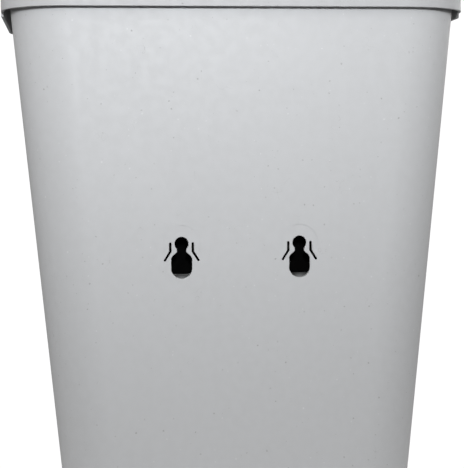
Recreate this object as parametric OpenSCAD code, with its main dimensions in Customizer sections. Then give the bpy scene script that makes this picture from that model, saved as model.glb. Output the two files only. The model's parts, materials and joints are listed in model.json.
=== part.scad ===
// Dog waste bin for a wall: a tapered body, a top frame that takes the bag, and a hinged lid
// with a charcoal filter and a quarter-turn lock.
// Millimetres. +Z is up, the front faces -Y, the wall side faces +Y, and Z = 0 is the ground.

/* [Overall] */
// Width across the top frame
frame_w = 300; // [260:1:360]
// Depth across the top frame, front to wall side
frame_d = 200; // [190:1:260]
// Height of the body from the ground to its rim
body_h = 400; // [340:1:480]

/* [Body] */
// Thickness of the body's walls and floor
wall = 2.5; // [2.2:0.1:3.5]
// Inward lean of the sides and the front, per millimetre of height
taper = 0.1; // [0.04:0.01:0.11]
// Height of the floor's underside above the ground
floor_z = 6; // [4:0.5:12]
// Width of the ring that the body stands on
foot_ring = 9; // [6:0.5:14]
// Radius of the bosses that take the frame screws
boss_r = 4.5; // [4:0.1:6]

/* [Wall fixing] */
// Distance between the two wall screws
screw_spacing = 75; // [60:1:110]
// Height of the wall screws above the ground
screw_z = 231.5; // [180:0.5:260]
// Diameter of the round seat that holds a screw's shank
seat_d = 8.8; // [7:0.1:10]
// Width of the neck that the shank snaps through
neck_w = 5.8; // [5:0.1:6.4]
// Diameter of the opening that a screw's head goes in by
entry_d = 13.4; // [12:0.1:15]
// Distance from the seat's centre down to the entry's centre
entry_drop = 15.4; // [14:0.1:18]
// Width of the relief slits beside each neck
slit_w = 1.5; // [1:0.1:2]
// Depth of the pocket that covers each keyhole inside
guard_depth = 18; // [12:1:26]
// Radius of the rubber bumpers that keep the bin upright on the wall
bumper_r = 10; // [7:0.5:14]

/* [Top frame] */
// Outer corner radius of the frame
frame_r = 42; // [34:1:48]
// Overhang of the frame beyond the body at the skirt's lower edge
overhang = 6; // [5:0.5:9]
// How far the skirt hangs below the body's rim
skirt_drop = 20; // [12:1:24]
// How much higher the skirt stops across the rear than at the sides and the front
rear_relief = 3; // [0:0.5:8]
// Thickness of the skirt
skirt_wall = 1.8; // [1.5:0.1:2.2]
// Thickness of the deck
deck_t = 2.4; // [2:0.1:3.5]
// Width of the deck at the two sides of the throat
side_deck = 40; // [34:1:48]
// Width of the deck in front of the throat
front_deck = 32; // [30:1:40]
// Corner radius of the throat
throat_r = 30; // [20:1:36]
// How far the throat hangs below the deck
throat_drop = 26; // [20:1:40]
// Thickness of the throat's wall
throat_wall = 2; // [1.6:0.1:3]

/* [Bag ring] */
// Height of the ring that clamps the bag
ring_h = 14; // [8:1:16]
// Thickness of the ring
ring_wall = 2.6; // [2:0.1:4]

/* [Lid] */
// Thickness of the lid and the hinge bridge
lid_wall = 2.2; // [1.8:0.1:2.8]
// Height of the lid's upright rim
rim_h = 12; // [8:1:14]
// Radius of the rounded edge above the rim
edge_round = 12; // [8:1:14]
// Extra height of the crown above the rounded edge
crown_rise = 2.4; // [1:0.1:4]
// Distance from the wall side of the frame to the hinge
hinge_inset = 38; // [34:1:44]
// Diameter of the hinge rod
rod_d = 4; // [3:0.5:5]
// Outer radius of the hinge knuckles
knuckle_r = 4.6; // [4.4:0.1:5.4]

/* [Filter] */
// Radius of the charcoal pad
pad_r = 46; // [36:1:50]
// Thickness of the charcoal pad
pad_t = 10; // [6:1:11]

/* [Lock] */
// Radius of the lock's shaft
shaft_r = 3; // [2.5:0.1:3.5]
// Length of the locking bar
bar_len = 16; // [14:0.5:17]
// Radius of the knob
knob_r = 12; // [10:0.5:14]

/* [Hidden] */
$fn = 64;

// Clearances
run_gap = 0.06;    // turning fits
seat_gap = 0.02;   // pieces that are pressed or screwed together
loose_gap = 0.3;   // pieces that lie on each other
cut = 1;           // how far a cutting shape runs past what it cuts
slice = 0.01;      // height of a hull's layers, and the overlap of shapes that are joined

// Heights
skirt_z = body_h - skirt_drop;
hem_z = skirt_z - rear_relief;
deck_z = body_h + deck_t;
lid_z = deck_z + 0.6;
rim_z = deck_z + rim_h;
edge_z = rim_z + edge_round;
crown_z = edge_z + crown_rise;

// Body
rear_y = frame_d / 2 - overhang;
body_r = frame_r - overhang;
boss_len = 12;
boss_bite = 0.6;   // how far a boss reaches into the corner's wall
pilot_r = 1.9;
frame_screw_r = 1.85;
frame_head_r = 3.8;
frame_head_h = 2;
frame_screw_len = boss_len - 1;
frame_shank_top = 0.5;
hole_gap = 0.2;    // a screw's clearance hole

function side_x(z) = frame_w / 2 - overhang - taper * (skirt_z - z);
function front_y(z) = -(frame_d / 2 - overhang) + taper * (skirt_z - z);

boss_reach = (body_r - wall - boss_r + boss_bite) / sqrt(2);
boss_x = side_x(body_h) - body_r + boss_reach;
boss_rear_y = rear_y - body_r + boss_reach;
boss_front_y = front_y(body_h) + body_r - boss_reach;
BOSSES = [for (x = [-boss_x, boss_x]) for (y = [boss_front_y, boss_rear_y]) [x, y]];

// Keyholes
inner_y = rear_y - wall;
entry_r = entry_d / 2;
neck_top = 3.1;
neck_z = 5.1;
shoulder_z = 7.8;
shoulder_x = 0.87 * entry_r;
full_z = 9.4;
halo_r = 12;
halo_depth = 0.25;
slit_x = 7.1;
slit_foot_x = 10.6;
slit_top_z = 0.2;
slit_bend_z = -4.8;
slit_foot_z = -10.3;
ledge_t = 2.5;
ledge_rise = 2.9;
ledge_half = 8;
sill_z = screw_z - entry_drop - entry_r;
guard_half = 16;
guard_wall = 1.8;
guard_margin = 8;
guard_z0 = sill_z - guard_margin;
guard_z1 = screw_z + seat_d / 2 + guard_margin;
tab_half = 5;
tab_h = 10;
post_r = 3.6;
post_h = 6;
tab_t = 2;
guard_screw_r = 1.4;
guard_head_r = 2.7;
guard_head_h = 1.8;
guard_screw_len = 7;
GUARD_SCREW_Z = [guard_z0 - tab_h / 2, guard_z1 + tab_h / 2];
KEYHOLE_X = [-screw_spacing / 2, screw_spacing / 2];

// Bumpers
bumper_x = 60;
bumper_z = 26;
bumper_draft = 1;
stem_r = 3;
barb_r = 3.9;
barb_tip_r = 2.6;
barb_h = 2.5;
barb_gap = 0.1;    // between a barb and the wall that it grips

// Hinge
hinge_y = frame_d / 2 - hinge_inset;
hinge_z = crown_z - 0.4;
rod_r = rod_d / 2;
bush_wall = 0.95;
bush_flange = 0.7;
bush_len = 10;
knuckle_gap = 1;
ear_len = 20;
barrel_len = 58;
ear_pitch = ear_len + barrel_len + 2 * knuckle_gap;
EAR_X = [-ear_pitch, 0, ear_pitch];
ear_end = ear_pitch + ear_len / 2;
BARREL_X = [-ear_pitch / 2, ear_pitch / 2];
sweep_r = knuckle_r + 0.7;
gutter = 7.5;
cap_t = 1.4;
cap_r = 4.2;
cap_gap = 0.2;
rod_half = ear_end + cap_gap + cap_t + 1;
cap_pocket = rod_half + knuckle_gap - ear_end;
hinge_split = 0.75;
lid_rear = hinge_y - hinge_split;
bridge_front = hinge_y + hinge_split;
gutter_run = (hinge_inset - gutter - hinge_split - edge_round) / (frame_r - edge_round);
gutter_top = edge_z + crown_rise * gutter_run - loose_gap;
bridge_screw_y = frame_d / 2 - 18;
BRIDGE_SCREW_X = [-80, 0, 80];
bridge_boss_r = 4;
bridge_screw_r = 1.6;
bridge_head_r = 3.2;
bridge_head_h = 2;
bridge_screw_len = 9;

// Throat and bag ring
throat_w = frame_w - 2 * side_deck;
throat_y0 = -frame_d / 2 + front_deck;
throat_y1 = hinge_y - 12;
throat_d = throat_y1 - throat_y0;
throat_y = (throat_y0 + throat_y1) / 2;
throat_z = body_h - throat_drop;
ledge_in = 4;
ledge_h = 2;
lip_h = 3;
swing_gap = 1.4;   // between the lip and the lid's rear wall at rest
swing_side = 4;
ring_gap = 1;
ring_w = throat_w - 2 * ring_gap;
ring_d = throat_d - 2 * ring_gap;
ring_r = throat_r - ring_gap;
ring_z = throat_z + ledge_h + loose_gap;
ring_tab = 8;
ring_tab_w = 34;
ring_tab_t = 2;
tongue_t = 2;
tongue_h = 6;
tongue_len = 60;
tongue_gap = 1.1;

// Lid liner and seal
seal_w = 5;
seal_z = deck_z + lip_h + loose_gap;
seal_t = 2.8;
liner_t = 2;
liner_z = seal_z + seal_t + 0.1;
liner_gap = 1.2;
liner_inset = lid_wall + liner_gap;
rib_t = 1.6;
rib_h = 2;
rib_gap = 0.3;
liner_rear = lid_rear - lid_wall - liner_gap;
lid_boss_r = 3.6;
liner_screw_r = 1.5;
liner_head_r = 3;
liner_head_h = 1.8;
liner_screw_len = 9;
liner_front_y = -frame_d / 2 + 28;
liner_back_y = hinge_y - 20;
liner_side_x = frame_w / 2 - 32;
liner_mid_x = 62;
liner_mid_y = -frame_d / 2 + 14;
LINER_SCREWS = concat(
    [for (x = [-liner_side_x, liner_side_x]) for (y = [liner_front_y, liner_back_y]) [x, y]],
    [for (x = [-liner_mid_x, liner_mid_x]) [x, liner_mid_y]]);
buffer_r = 4;
buffer_stem_r = 1.8;
buffer_draft = 1;
buffer_barb_r = 2.7;
buffer_tip_r = 1.4;
buffer_barb_h = 2.2;
buffer_tail = 2;   // how far the stem runs past the liner
buffer_x = frame_w / 2 - 28;
buffer_y = 0;

// Filter
cup_wall = 2;
cup_r = pad_r + 3;
hole_r = pad_r - 0.5;
cover_r = hole_r - 0.5;
cover_ring = 3;
flange_r = hole_r + 4.5;
flange_t = 1.9;
lug_reach = 2.8;
lug_half = 5;
lug_t = 1.6;
notch_clear = 0.6;
cover_turn = 30;
LUGS = [0, 120, 240];
cover_top = liner_z + liner_t + loose_gap + lug_t;
pad_z = cover_top + loose_gap;
cup_top = pad_z + pad_t + 0.5;
grip_len = 56;
grip_t = 6;
grip_h = 3.2;
grille_slot = 3;
grille_pitch = 7;
vent_count = 16;
vent_in = 14;
vent_len = 20;
vent_w = 3;

// Lock
lock_y = -frame_d / 2 + 17;
lock_boss_r = 14;
lock_top = crown_z - 0.4;
bush_r = shaft_r + 1.5;
bush_head_r = 7;
bush_head_t = 1.2;
lock_bar_w = 2 * shaft_r;
bar_t = 3.5;
bar_drop = 1;
bar_z = body_h - bar_drop - bar_t;
slot_len = bar_len + 3.5;
slot_front = 6;
slot_rear = 4.2;
knob_base = 3;
knob_h = 10;
knob_grip = 7;
knob_core_r = 5.04;
knob_draft = 1;
lock_head_h = 1.8;
lock_recess = 2;
shaft_top = lock_top + 6;
socket_r = 1.6;
lock_screw_r = 1.55;
lock_head_r = 3;
lock_screw_len = 9;
lip_w = 76;
lip_reach = 8;
lip_t = 3;

// ---- shared shapes ----

// A rounded rectangle with true arcs at its corners.
module rounded_rect(w, d, r) {
    square([w - 2 * r, d], center = true);
    square([w, d - 2 * r], center = true);
    for (x = [-1, 1]) for (y = [-1, 1]) translate([x * (w / 2 - r), y * (d / 2 - r)]) circle(r = r);
}

// A rounded plate between two heights.
module plate(w, d, r, z0, z1, y = 0) {
    translate([0, y, z0]) linear_extrude(z1 - z0) rounded_rect(w, d, r);
}

// A wall that runs round a rounded rectangle, between two heights.
module ring(w, d, r, t, z0, z1, y = 0) {
    difference() {
        plate(w, d, r, z0, z1, y);
        plate(w - 2 * t, d - 2 * t, max(r - t, 0.5), z0 - cut, z1 + cut, y);
    }
}

// A screw that stands head down at the origin, with its shank up.
module screw(shank_r, head_r, head_h, len) {
    cylinder(r = head_r, h = head_h);
    translate([0, 0, head_h - seat_gap]) cylinder(r = shank_r, h = len);
}

// ---- body ----

// One level slice of the body, drawn in from its outer face by an inset.
module body_slice(z, inset) {
    r = body_r - inset;
    for (x = [-1, 1]) for (y = [front_y(z) + inset + r, rear_y - inset - r])
        translate([x * (side_x(z) - inset - r), y, z]) cylinder(r = r, h = slice);
}

// The tapered form between two heights.
module body_form(inset, z0, z1) {
    hull() {
        body_slice(z0, inset);
        body_slice(z1 - slice, inset);
    }
}

// Outline of a keyhole about its seat: a round seat, a snap neck, shoulders and a round entry.
module keyhole_outline() {
    circle(d = seat_d);
    polygon([[neck_top, -neck_top], [neck_w / 2, -neck_z], [shoulder_x, -shoulder_z],
             [entry_r, -full_z], [entry_r, -entry_drop], [-entry_r, -entry_drop], [-entry_r, -full_z],
             [-shoulder_x, -shoulder_z], [-neck_w / 2, -neck_z], [-neck_top, -neck_top], [0, 0]]);
    translate([0, -entry_drop]) circle(r = entry_r);
}

// A straight slot with round ends between two points.
module slot_between(a, b, w) {
    run = b - a;
    for (p = [a, b]) translate(p) circle(d = w);
    translate(a) rotate(atan2(run[1], run[0])) translate([0, -w / 2]) square([norm(run), w]);
}

// The relief slit on one side of a neck: upright beside the seat, then leaning out.
module relief_slit(side) {
    bend = [side * slit_x, slit_bend_z];
    slot_between([side * slit_x, slit_top_z], bend, slit_w);
    slot_between(bend, [side * slit_foot_x, slit_foot_z], slit_w);
}

// Everything that is cut through the rear wall for one wall screw.
module keyhole_cut() {
    translate([0, rear_y + cut, 0]) rotate([90, 0, 0]) linear_extrude(wall + cut + slice) {
        keyhole_outline();
        for (side = [-1, 1]) relief_slit(side);
    }
    translate([0, rear_y + cut, -halo_depth]) rotate([90, 0, 0]) cylinder(r = halo_r, h = cut + halo_depth);
}

// The ledge behind a keyhole's sill, which keeps a screw's head from dropping back out.
module sill_ledge() {
    translate([-ledge_half, inner_y - ledge_t, sill_z - ledge_rise])
        cube([2 * ledge_half, ledge_t + slice, 2 * ledge_rise]);
}

module guard_post() {
    rotate([90, 0, 0]) difference() {
        translate([0, 0, -slice]) cylinder(r = post_r, h = post_h + slice);
        cylinder(r = guard_screw_r + seat_gap, h = post_h + cut);
    }
}

module bin_body() {
    color([0.80, 0.80, 0.81]) difference() {
        union() {
            difference() {
                body_form(0, 0, body_h);
                body_form(wall, floor_z + wall, body_h + cut);
                body_form(foot_ring, -cut, floor_z);
            }
            for (p = BOSSES) translate([p[0], p[1], body_h - boss_len]) cylinder(r = boss_r, h = boss_len);
            for (x = KEYHOLE_X) {
                translate([x, 0, 0]) sill_ledge();
                for (z = GUARD_SCREW_Z) translate([x, inner_y, z]) guard_post();
            }
        }
        for (p = BOSSES) translate([p[0], p[1], body_h - boss_len + 1]) cylinder(r = pilot_r, h = boss_len);
        for (x = KEYHOLE_X) translate([x, 0, screw_z]) keyhole_cut();
        for (x = [-bumper_x, bumper_x])
            translate([x, rear_y + cut, bumper_z]) rotate([90, 0, 0])
                cylinder(r = stem_r + seat_gap, h = wall + 2 * cut);
    }
}

// Rubber bumpers low on the wall side, as thick as the frame's overhang.
module wall_bumpers() {
    color([0.12, 0.12, 0.12]) for (x = [-bumper_x, bumper_x])
        translate([x, rear_y + overhang, bumper_z]) rotate([90, 0, 0]) {
            cylinder(r1 = bumper_r - bumper_draft, r2 = bumper_r, h = overhang);
            cylinder(r = stem_r, h = overhang + wall + barb_h);
            translate([0, 0, overhang + wall + barb_gap]) cylinder(r1 = barb_r, r2 = barb_tip_r, h = barb_h);
        }
}

// The pocket that covers a keyhole inside and keeps the bag off the screw heads.
module keyhole_guard() {
    h = guard_z1 - guard_z0;
    color([0.10, 0.10, 0.11]) difference() {
        union() {
            translate([-guard_half, inner_y - guard_depth, guard_z0]) cube([2 * guard_half, guard_depth, h]);
            translate([-tab_half, inner_y - post_h - tab_t, guard_z0 - tab_h])
                cube([2 * tab_half, tab_t, h + 2 * tab_h]);
        }
        translate([guard_wall - guard_half, inner_y - guard_depth + guard_wall, guard_z0 + guard_wall])
            cube([2 * (guard_half - guard_wall), guard_depth, h - 2 * guard_wall]);
        for (z = GUARD_SCREW_Z) translate([0, inner_y, z]) rotate([90, 0, 0])
            cylinder(r = guard_screw_r + seat_gap, h = guard_depth);
    }
}

module keyhole_guard_left() { translate([KEYHOLE_X[0], 0, 0]) keyhole_guard(); }

module keyhole_guard_right() { translate([KEYHOLE_X[1], 0, 0]) keyhole_guard(); }

module guard_screws() {
    color([0.7, 0.7, 0.72]) for (x = KEYHOLE_X) for (z = GUARD_SCREW_Z)
        translate([x, inner_y - post_h - tab_t - guard_head_h, z]) rotate([-90, 0, 0])
            screw(guard_screw_r, guard_head_r, guard_head_h, guard_screw_len);
}

// ---- top frame ----

// Tongues that drop inside the body's rim and centre the frame on it.
module frame_tongues() {
    x = side_x(body_h - tongue_h) - wall - tongue_gap;
    y0 = front_y(body_h - tongue_h) + wall + tongue_gap;
    y1 = inner_y - tongue_gap;
    for (side = [-1, 1]) translate([side * (x - tongue_t / 2), throat_y, body_h - tongue_h / 2])
        cube([tongue_t, tongue_len, tongue_h + slice], center = true);
    for (y = [y0 + tongue_t / 2, y1 - tongue_t / 2]) for (side = [-1, 1])
        translate([side * tongue_len, y, body_h - tongue_h / 2])
            cube([tongue_len / 2, tongue_t, tongue_h + slice], center = true);
}

module top_frame() {
    color([0.80, 0.80, 0.81]) difference() {
        union() {
            difference() {
                plate(frame_w, frame_d, frame_r, hem_z, deck_z);
                plate(frame_w - 2 * skirt_wall, frame_d - 2 * skirt_wall, frame_r - skirt_wall,
                      hem_z - cut, body_h);
                translate([-frame_w / 2 - cut, frame_d / 2 - frame_r, hem_z - cut])
                    cube([frame_w + 2 * cut, frame_r + cut, rear_relief + cut]);
            }
            plate(throat_w + 2 * throat_wall, throat_d + 2 * throat_wall, throat_r + throat_wall,
                  throat_z, deck_z + lip_h, throat_y);
            frame_tongues();
        }
        plate(throat_w, throat_d, throat_r, throat_z + ledge_h, deck_z + lip_h + cut, throat_y);
        plate(throat_w - 2 * ledge_in, throat_d - 2 * ledge_in, throat_r - ledge_in,
              throat_z - cut, deck_z, throat_y);
        translate([-slot_len / 2, lock_y - slot_front, body_h - cut])
            cube([slot_len, slot_front + slot_rear, deck_t + 2 * cut]);
        for (p = BOSSES) translate([p[0], p[1], body_h - cut]) {
            cylinder(r = frame_screw_r + hole_gap, h = deck_t + 2 * cut);
            translate([0, 0, cut + deck_t - frame_head_h])
                cylinder(r1 = frame_screw_r, r2 = frame_head_r + 0.1, h = frame_head_h);
        }
        for (x = BRIDGE_SCREW_X) translate([x, bridge_screw_y, body_h - cut])
            cylinder(r = bridge_screw_r + hole_gap, h = deck_t + 2 * cut);
    }
}

module frame_screws() {
    color([0.7, 0.7, 0.72]) for (p = BOSSES) translate([p[0], p[1], deck_z - frame_head_h]) {
        cylinder(r1 = frame_screw_r - 0.1, r2 = frame_head_r, h = frame_head_h);
        translate([0, 0, frame_shank_top - frame_screw_len]) cylinder(r = frame_screw_r, h = frame_screw_len);
    }
}

// The ring that drops into the throat and clamps the bag's edge on the ledge.
module bag_ring() {
    color([0.16, 0.17, 0.18]) {
        ring(ring_w, ring_d, ring_r, ring_wall, ring_z, ring_z + ring_h, throat_y);
        for (side = [-1, 1])
            translate([side * (ring_w / 2 - ring_wall - ring_tab / 2 + slice), throat_y,
                       ring_z + ring_h - ring_tab_t / 2])
                cube([ring_tab, ring_tab_w, ring_tab_t], center = true);
    }
}

// ---- lid and hinge bridge ----

// Half of the crowned section, from the middle of a corner out to the rim, drawn in by a thickness.
module crown_section(t, z0) {
    round_r = edge_round - t;
    flat = frame_r - edge_round;
    translate([0, z0]) square([frame_r - t, rim_z - z0]);
    square_top = rim_z + round_r;
    translate([0, rim_z - slice]) square([flat, round_r + slice]);
    intersection() {
        translate([flat, rim_z]) circle(r = round_r);
        translate([flat - slice, rim_z - slice]) square(2 * edge_round);
    }
    polygon([[0, square_top - slice], [flat, square_top - slice], [flat, square_top], [0, crown_z - t]]);
}

// The whole crowned section of a form that is twice this half-width across.
module loaf_section(half, t, z0) {
    core = half - frame_r;
    for (side = [0, 1]) mirror([side, 0]) translate([core, 0]) crown_section(t, z0);
    translate([-core - slice, z0]) square([2 * (core + slice), crown_z - t - z0]);
}

// The crowned form that the lid and the bridge are cut from, drawn in by a thickness.
module dome_form(t, z0) {
    core_x = frame_w / 2 - frame_r;
    core_y = frame_d / 2 - frame_r;
    rotate([90, 0, 90]) linear_extrude(2 * core_x, center = true) loaf_section(frame_d / 2, t, z0);
    rotate([90, 0, 0]) linear_extrude(2 * core_y, center = true) loaf_section(frame_w / 2, t, z0);
    for (x = [0, 1]) for (y = [0, 1]) mirror([x, 0]) mirror([0, y])
        translate([core_x, core_y, 0]) rotate_extrude(angle = 90) crown_section(t, z0);
}

// Half-spaces on either side of the hinge.
module ahead_of(y) { translate([-frame_w, -frame_d, 0]) cube([2 * frame_w, frame_d + y, 2 * body_h]); }

module behind(y) { translate([-frame_w, y, 0]) cube([2 * frame_w, frame_d, 2 * body_h]); }

// A cylinder along the hinge line, centred on x.
module on_hinge(x, r, len) {
    translate([x - len / 2, hinge_y, hinge_z]) rotate([0, 90, 0]) cylinder(r = r, h = len);
}

// Solid backing for the hollow that a knuckle turns in.
module gutter_block(x, len, y0) {
    translate([x - len / 2 - 2, y0, gutter_top - gutter]) cube([len + 4, gutter, gutter]);
}

// Room for the rod's ends and their caps.
module cap_pockets() {
    for (side = [-1, 1]) on_hinge(side * (ear_end + cap_pocket / 2), sweep_r, cap_pocket);
}

module hinge_bridge() {
    sweep_len = barrel_len + 2 * knuckle_gap;
    color([0.80, 0.80, 0.81]) difference() {
        union() {
            difference() {
                intersection() {
                    dome_form(0, deck_z);
                    behind(bridge_front);
                }
                intersection() {
                    dome_form(lid_wall, deck_z - cut);
                    behind(bridge_front + lid_wall);
                }
            }
            intersection() {
                dome_form(lid_wall / 2, deck_z);
                for (x = BRIDGE_SCREW_X) translate([x, bridge_screw_y, deck_z])
                    cylinder(r = bridge_boss_r, h = crown_z - deck_z);
            }
            for (x = BARREL_X) gutter_block(x, barrel_len, bridge_front);
            for (side = [-1, 1]) gutter_block(side * (ear_end + cap_pocket / 2), cap_pocket, bridge_front);
            for (x = EAR_X) on_hinge(x, knuckle_r, ear_len);
        }
        for (x = BARREL_X) on_hinge(x, sweep_r, sweep_len);
        cap_pockets();
        on_hinge(0, rod_r + seat_gap, 4 * ear_pitch);
        for (x = BRIDGE_SCREW_X) translate([x, bridge_screw_y, deck_z - cut])
            cylinder(r = bridge_screw_r + seat_gap, h = bridge_screw_len + cut);
    }
}

module bridge_screws() {
    color([0.7, 0.7, 0.72]) for (x = BRIDGE_SCREW_X)
        translate([x, bridge_screw_y, body_h - bridge_head_h])
            screw(bridge_screw_r, bridge_head_r, bridge_head_h, bridge_screw_len);
}

module hinge_rod() {
    color([0.7, 0.7, 0.72]) on_hinge(0, rod_r, 2 * rod_half);
}

// Push-on caps that keep the rod from sliding out.
module rod_caps() {
    color([0.55, 0.55, 0.57]) for (side = [-1, 1])
        difference() {
            on_hinge(side * (ear_end + cap_gap + cap_t / 2), cap_r, cap_t);
            on_hinge(0, rod_r + seat_gap, 2 * rod_half);
        }
}

// Plastic bushes pressed into the ends of the lid's knuckles, with the rod turning in them.
module hinge_bushes() {
    color([0.92, 0.92, 0.88]) for (x = BARREL_X) for (side = [-1, 1]) difference() {
        union() {
            on_hinge(x + side * (barrel_len - bush_len) / 2, rod_r + bush_wall, bush_len);
            on_hinge(x + side * (barrel_len + bush_flange) / 2, knuckle_r - 0.3, bush_flange);
        }
        on_hinge(0, rod_r + run_gap, 4 * ear_pitch);
    }
}

// Slots through the lid above the filter.
module vents() {
    for (i = [0:vent_count - 1]) translate([0, throat_y, 0]) rotate(i * 360 / vent_count)
        translate([vent_in, -vent_w / 2, edge_z - 2 * lid_wall]) cube([vent_len, vent_w, 4 * lid_wall]);
}

// Room over the throat's lip for the lid's rear wall, which swings across it.
module swing_room() {
    w = throat_w + 2 * throat_wall + 2 * swing_side;
    translate([-w / 2, lid_rear - lid_wall - slice, lid_z - cut])
        cube([w, lid_wall + cut, deck_z + lip_h + swing_gap - lid_z + cut]);
}

module lid() {
    sweep_len = ear_len + 2 * knuckle_gap;
    color([0.80, 0.80, 0.81]) difference() {
        union() {
            difference() {
                intersection() {
                    dome_form(0, lid_z);
                    ahead_of(lid_rear);
                }
                intersection() {
                    dome_form(lid_wall, lid_z - cut);
                    ahead_of(lid_rear - lid_wall);
                }
            }
            intersection() {
                dome_form(lid_wall / 2, lid_z);
                for (p = LINER_SCREWS) translate([p[0], p[1], liner_z + liner_t])
                    cylinder(r = lid_boss_r, h = crown_z);
            }
            for (x = EAR_X) gutter_block(x, ear_len, lid_rear - gutter);
            for (side = [-1, 1])
                gutter_block(side * (ear_end + cap_pocket / 2), cap_pocket, lid_rear - gutter);
            for (x = BARREL_X) on_hinge(x, knuckle_r, barrel_len);
            translate([0, lock_y, rim_z]) cylinder(r = lock_boss_r, h = lock_top - rim_z);
            plate(lip_w, 2 * lip_reach + 8, lip_reach, lid_z, lid_z + lip_t, 4 - frame_d / 2);
        }
        translate([-lip_w, lid_wall - frame_d / 2, lid_z - cut])
            cube([2 * lip_w, frame_d / 2, lip_t + 2 * cut]);
        for (x = EAR_X) on_hinge(x, sweep_r, sweep_len);
        cap_pockets();
        swing_room();
        on_hinge(0, rod_r + bush_wall + seat_gap, 4 * ear_pitch);
        for (p = LINER_SCREWS) translate([p[0], p[1], liner_z])
            cylinder(r = liner_screw_r + seat_gap, h = liner_screw_len);
        translate([0, lock_y, lid_z]) cylinder(r = bush_r + seat_gap, h = body_h);
        vents();
    }
}

// A rounded ring that follows the throat's lip, offset outwards from the lip's middle.
module seal_path_ring(offset_out, t, z0, z1) {
    grow = throat_wall / 2 + offset_out + t;
    ring(throat_w + 2 * grow, throat_d + 2 * grow, throat_r + grow, t, z0, z1, throat_y);
}

module bayonet_notches() {
    for (a = LUGS) translate([0, throat_y, liner_z - cut]) rotate(a + cover_turn)
        translate([0, -lug_half - notch_clear, 0])
            cube([hole_r + lug_reach, 2 * (lug_half + notch_clear), liner_t + 2 * cut]);
}

module lid_liner() {
    color([0.72, 0.72, 0.73]) difference() {
        union() {
            intersection() {
                plate(frame_w - 2 * liner_inset, frame_d - 2 * liner_inset, frame_r - liner_inset,
                      liner_z, liner_z + liner_t);
                ahead_of(liner_rear);
            }
            seal_path_ring(seal_w / 2 + rib_gap, rib_t, liner_z - rib_h, liner_z + slice);
            seal_path_ring(-seal_w / 2 - rib_gap - rib_t, rib_t, liner_z - rib_h, liner_z + slice);
            translate([0, throat_y, liner_z]) cylinder(r = cup_r + cup_wall, h = cup_top - liner_z);
        }
        translate([0, throat_y, liner_z + liner_t]) cylinder(r = cup_r, h = cup_top);
        translate([0, throat_y, liner_z - cut]) cylinder(r = hole_r, h = liner_t + 2 * cut);
        bayonet_notches();
        for (p = LINER_SCREWS) translate([p[0], p[1], liner_z - cut])
            cylinder(r = liner_screw_r + hole_gap, h = liner_t + 2 * cut);
        translate([0, lock_y, liner_z - cut]) cylinder(r = shaft_r + 0.6, h = liner_t + 2 * cut);
        for (x = [-buffer_x, buffer_x]) translate([x, buffer_y, liner_z - cut])
            cylinder(r = buffer_stem_r + seat_gap, h = liner_t + 2 * cut);
    }
}

module liner_screws() {
    color([0.7, 0.7, 0.72]) for (p = LINER_SCREWS)
        translate([p[0], p[1], liner_z - liner_head_h])
            screw(liner_screw_r, liner_head_r, liner_head_h, liner_screw_len);
}

module lid_seal() {
    color([0.14, 0.14, 0.14]) seal_path_ring(-seal_w / 2, seal_w, seal_z, seal_z + seal_t);
}

// Small rubber buffers that soften the lid's fall on the deck.
module lid_buffers() {
    foot_z = deck_z + loose_gap;
    color([0.14, 0.14, 0.14]) for (x = [-buffer_x, buffer_x]) translate([x, buffer_y, 0]) {
        translate([0, 0, foot_z]) cylinder(r1 = buffer_r - buffer_draft, r2 = buffer_r, h = liner_z - foot_z);
        translate([0, 0, foot_z]) cylinder(r = buffer_stem_r, h = liner_z + liner_t + buffer_tail - foot_z);
        translate([0, 0, liner_z + liner_t + barb_gap])
            cylinder(r1 = buffer_barb_r, r2 = buffer_tip_r, h = buffer_barb_h);
    }
}

// ---- filter ----

module filter_pad() {
    color([0.09, 0.09, 0.10]) translate([0, throat_y, pad_z]) cylinder(r = pad_r, h = pad_t);
}

// The slotted cover below the pad: three lugs hold it, and a part turn frees them.
module filter_cover() {
    color([0.60, 0.61, 0.63]) translate([0, throat_y, 0]) difference() {
        union() {
            translate([0, 0, liner_z - loose_gap - flange_t]) cylinder(r = flange_r, h = flange_t);
            translate([0, 0, liner_z - loose_gap - slice]) difference() {
                cylinder(r = cover_r, h = cover_top - liner_z + loose_gap + slice);
                translate([0, 0, slice]) cylinder(r = cover_r - cover_ring, h = cover_top);
            }
            for (a = LUGS) rotate(a) translate([cover_r - cover_ring / 2, -lug_half, cover_top - lug_t])
                cube([lug_reach + cover_ring / 2, 2 * lug_half, lug_t]);
            translate([-grip_len / 2, -grip_t / 2, liner_z - loose_gap - flange_t - grip_h])
                cube([grip_len, grip_t, grip_h + slice]);
        }
        for (side = [-1, 1]) for (i = [1:5]) {
            y = grip_t / 2 + grille_pitch * i - grille_pitch / 2;
            half = sqrt(pow(cover_r - cover_ring - 2, 2) - pow(y + grille_slot, 2));
            translate([-half, side * (y + grille_slot / 2) - grille_slot / 2, liner_z - 2 * flange_t])
                cube([2 * half, grille_slot, 2 * flange_t]);
        }
    }
}

// ---- lock ----

module lock_knob() {
    color([0.16, 0.17, 0.18]) translate([0, lock_y, lock_top + loose_gap]) difference() {
        union() {
            cylinder(r1 = knob_r, r2 = knob_r - knob_draft, h = knob_base);
            translate([knob_draft - knob_r, -knob_grip / 2, 0])
                cube([2 * (knob_r - knob_draft), knob_grip, knob_h]);
            cylinder(r = knob_core_r, h = knob_h);
        }
        translate([0, 0, -cut])
            cylinder(r = shaft_r + seat_gap, h = shaft_top - lock_top - loose_gap + cut + seat_gap);
        translate([0, 0, -cut]) cylinder(r = lock_screw_r + hole_gap, h = knob_h + 2 * cut);
        translate([0, 0, knob_h - lock_recess]) cylinder(r = lock_head_r + hole_gap, h = lock_recess + cut);
    }
}

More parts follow.
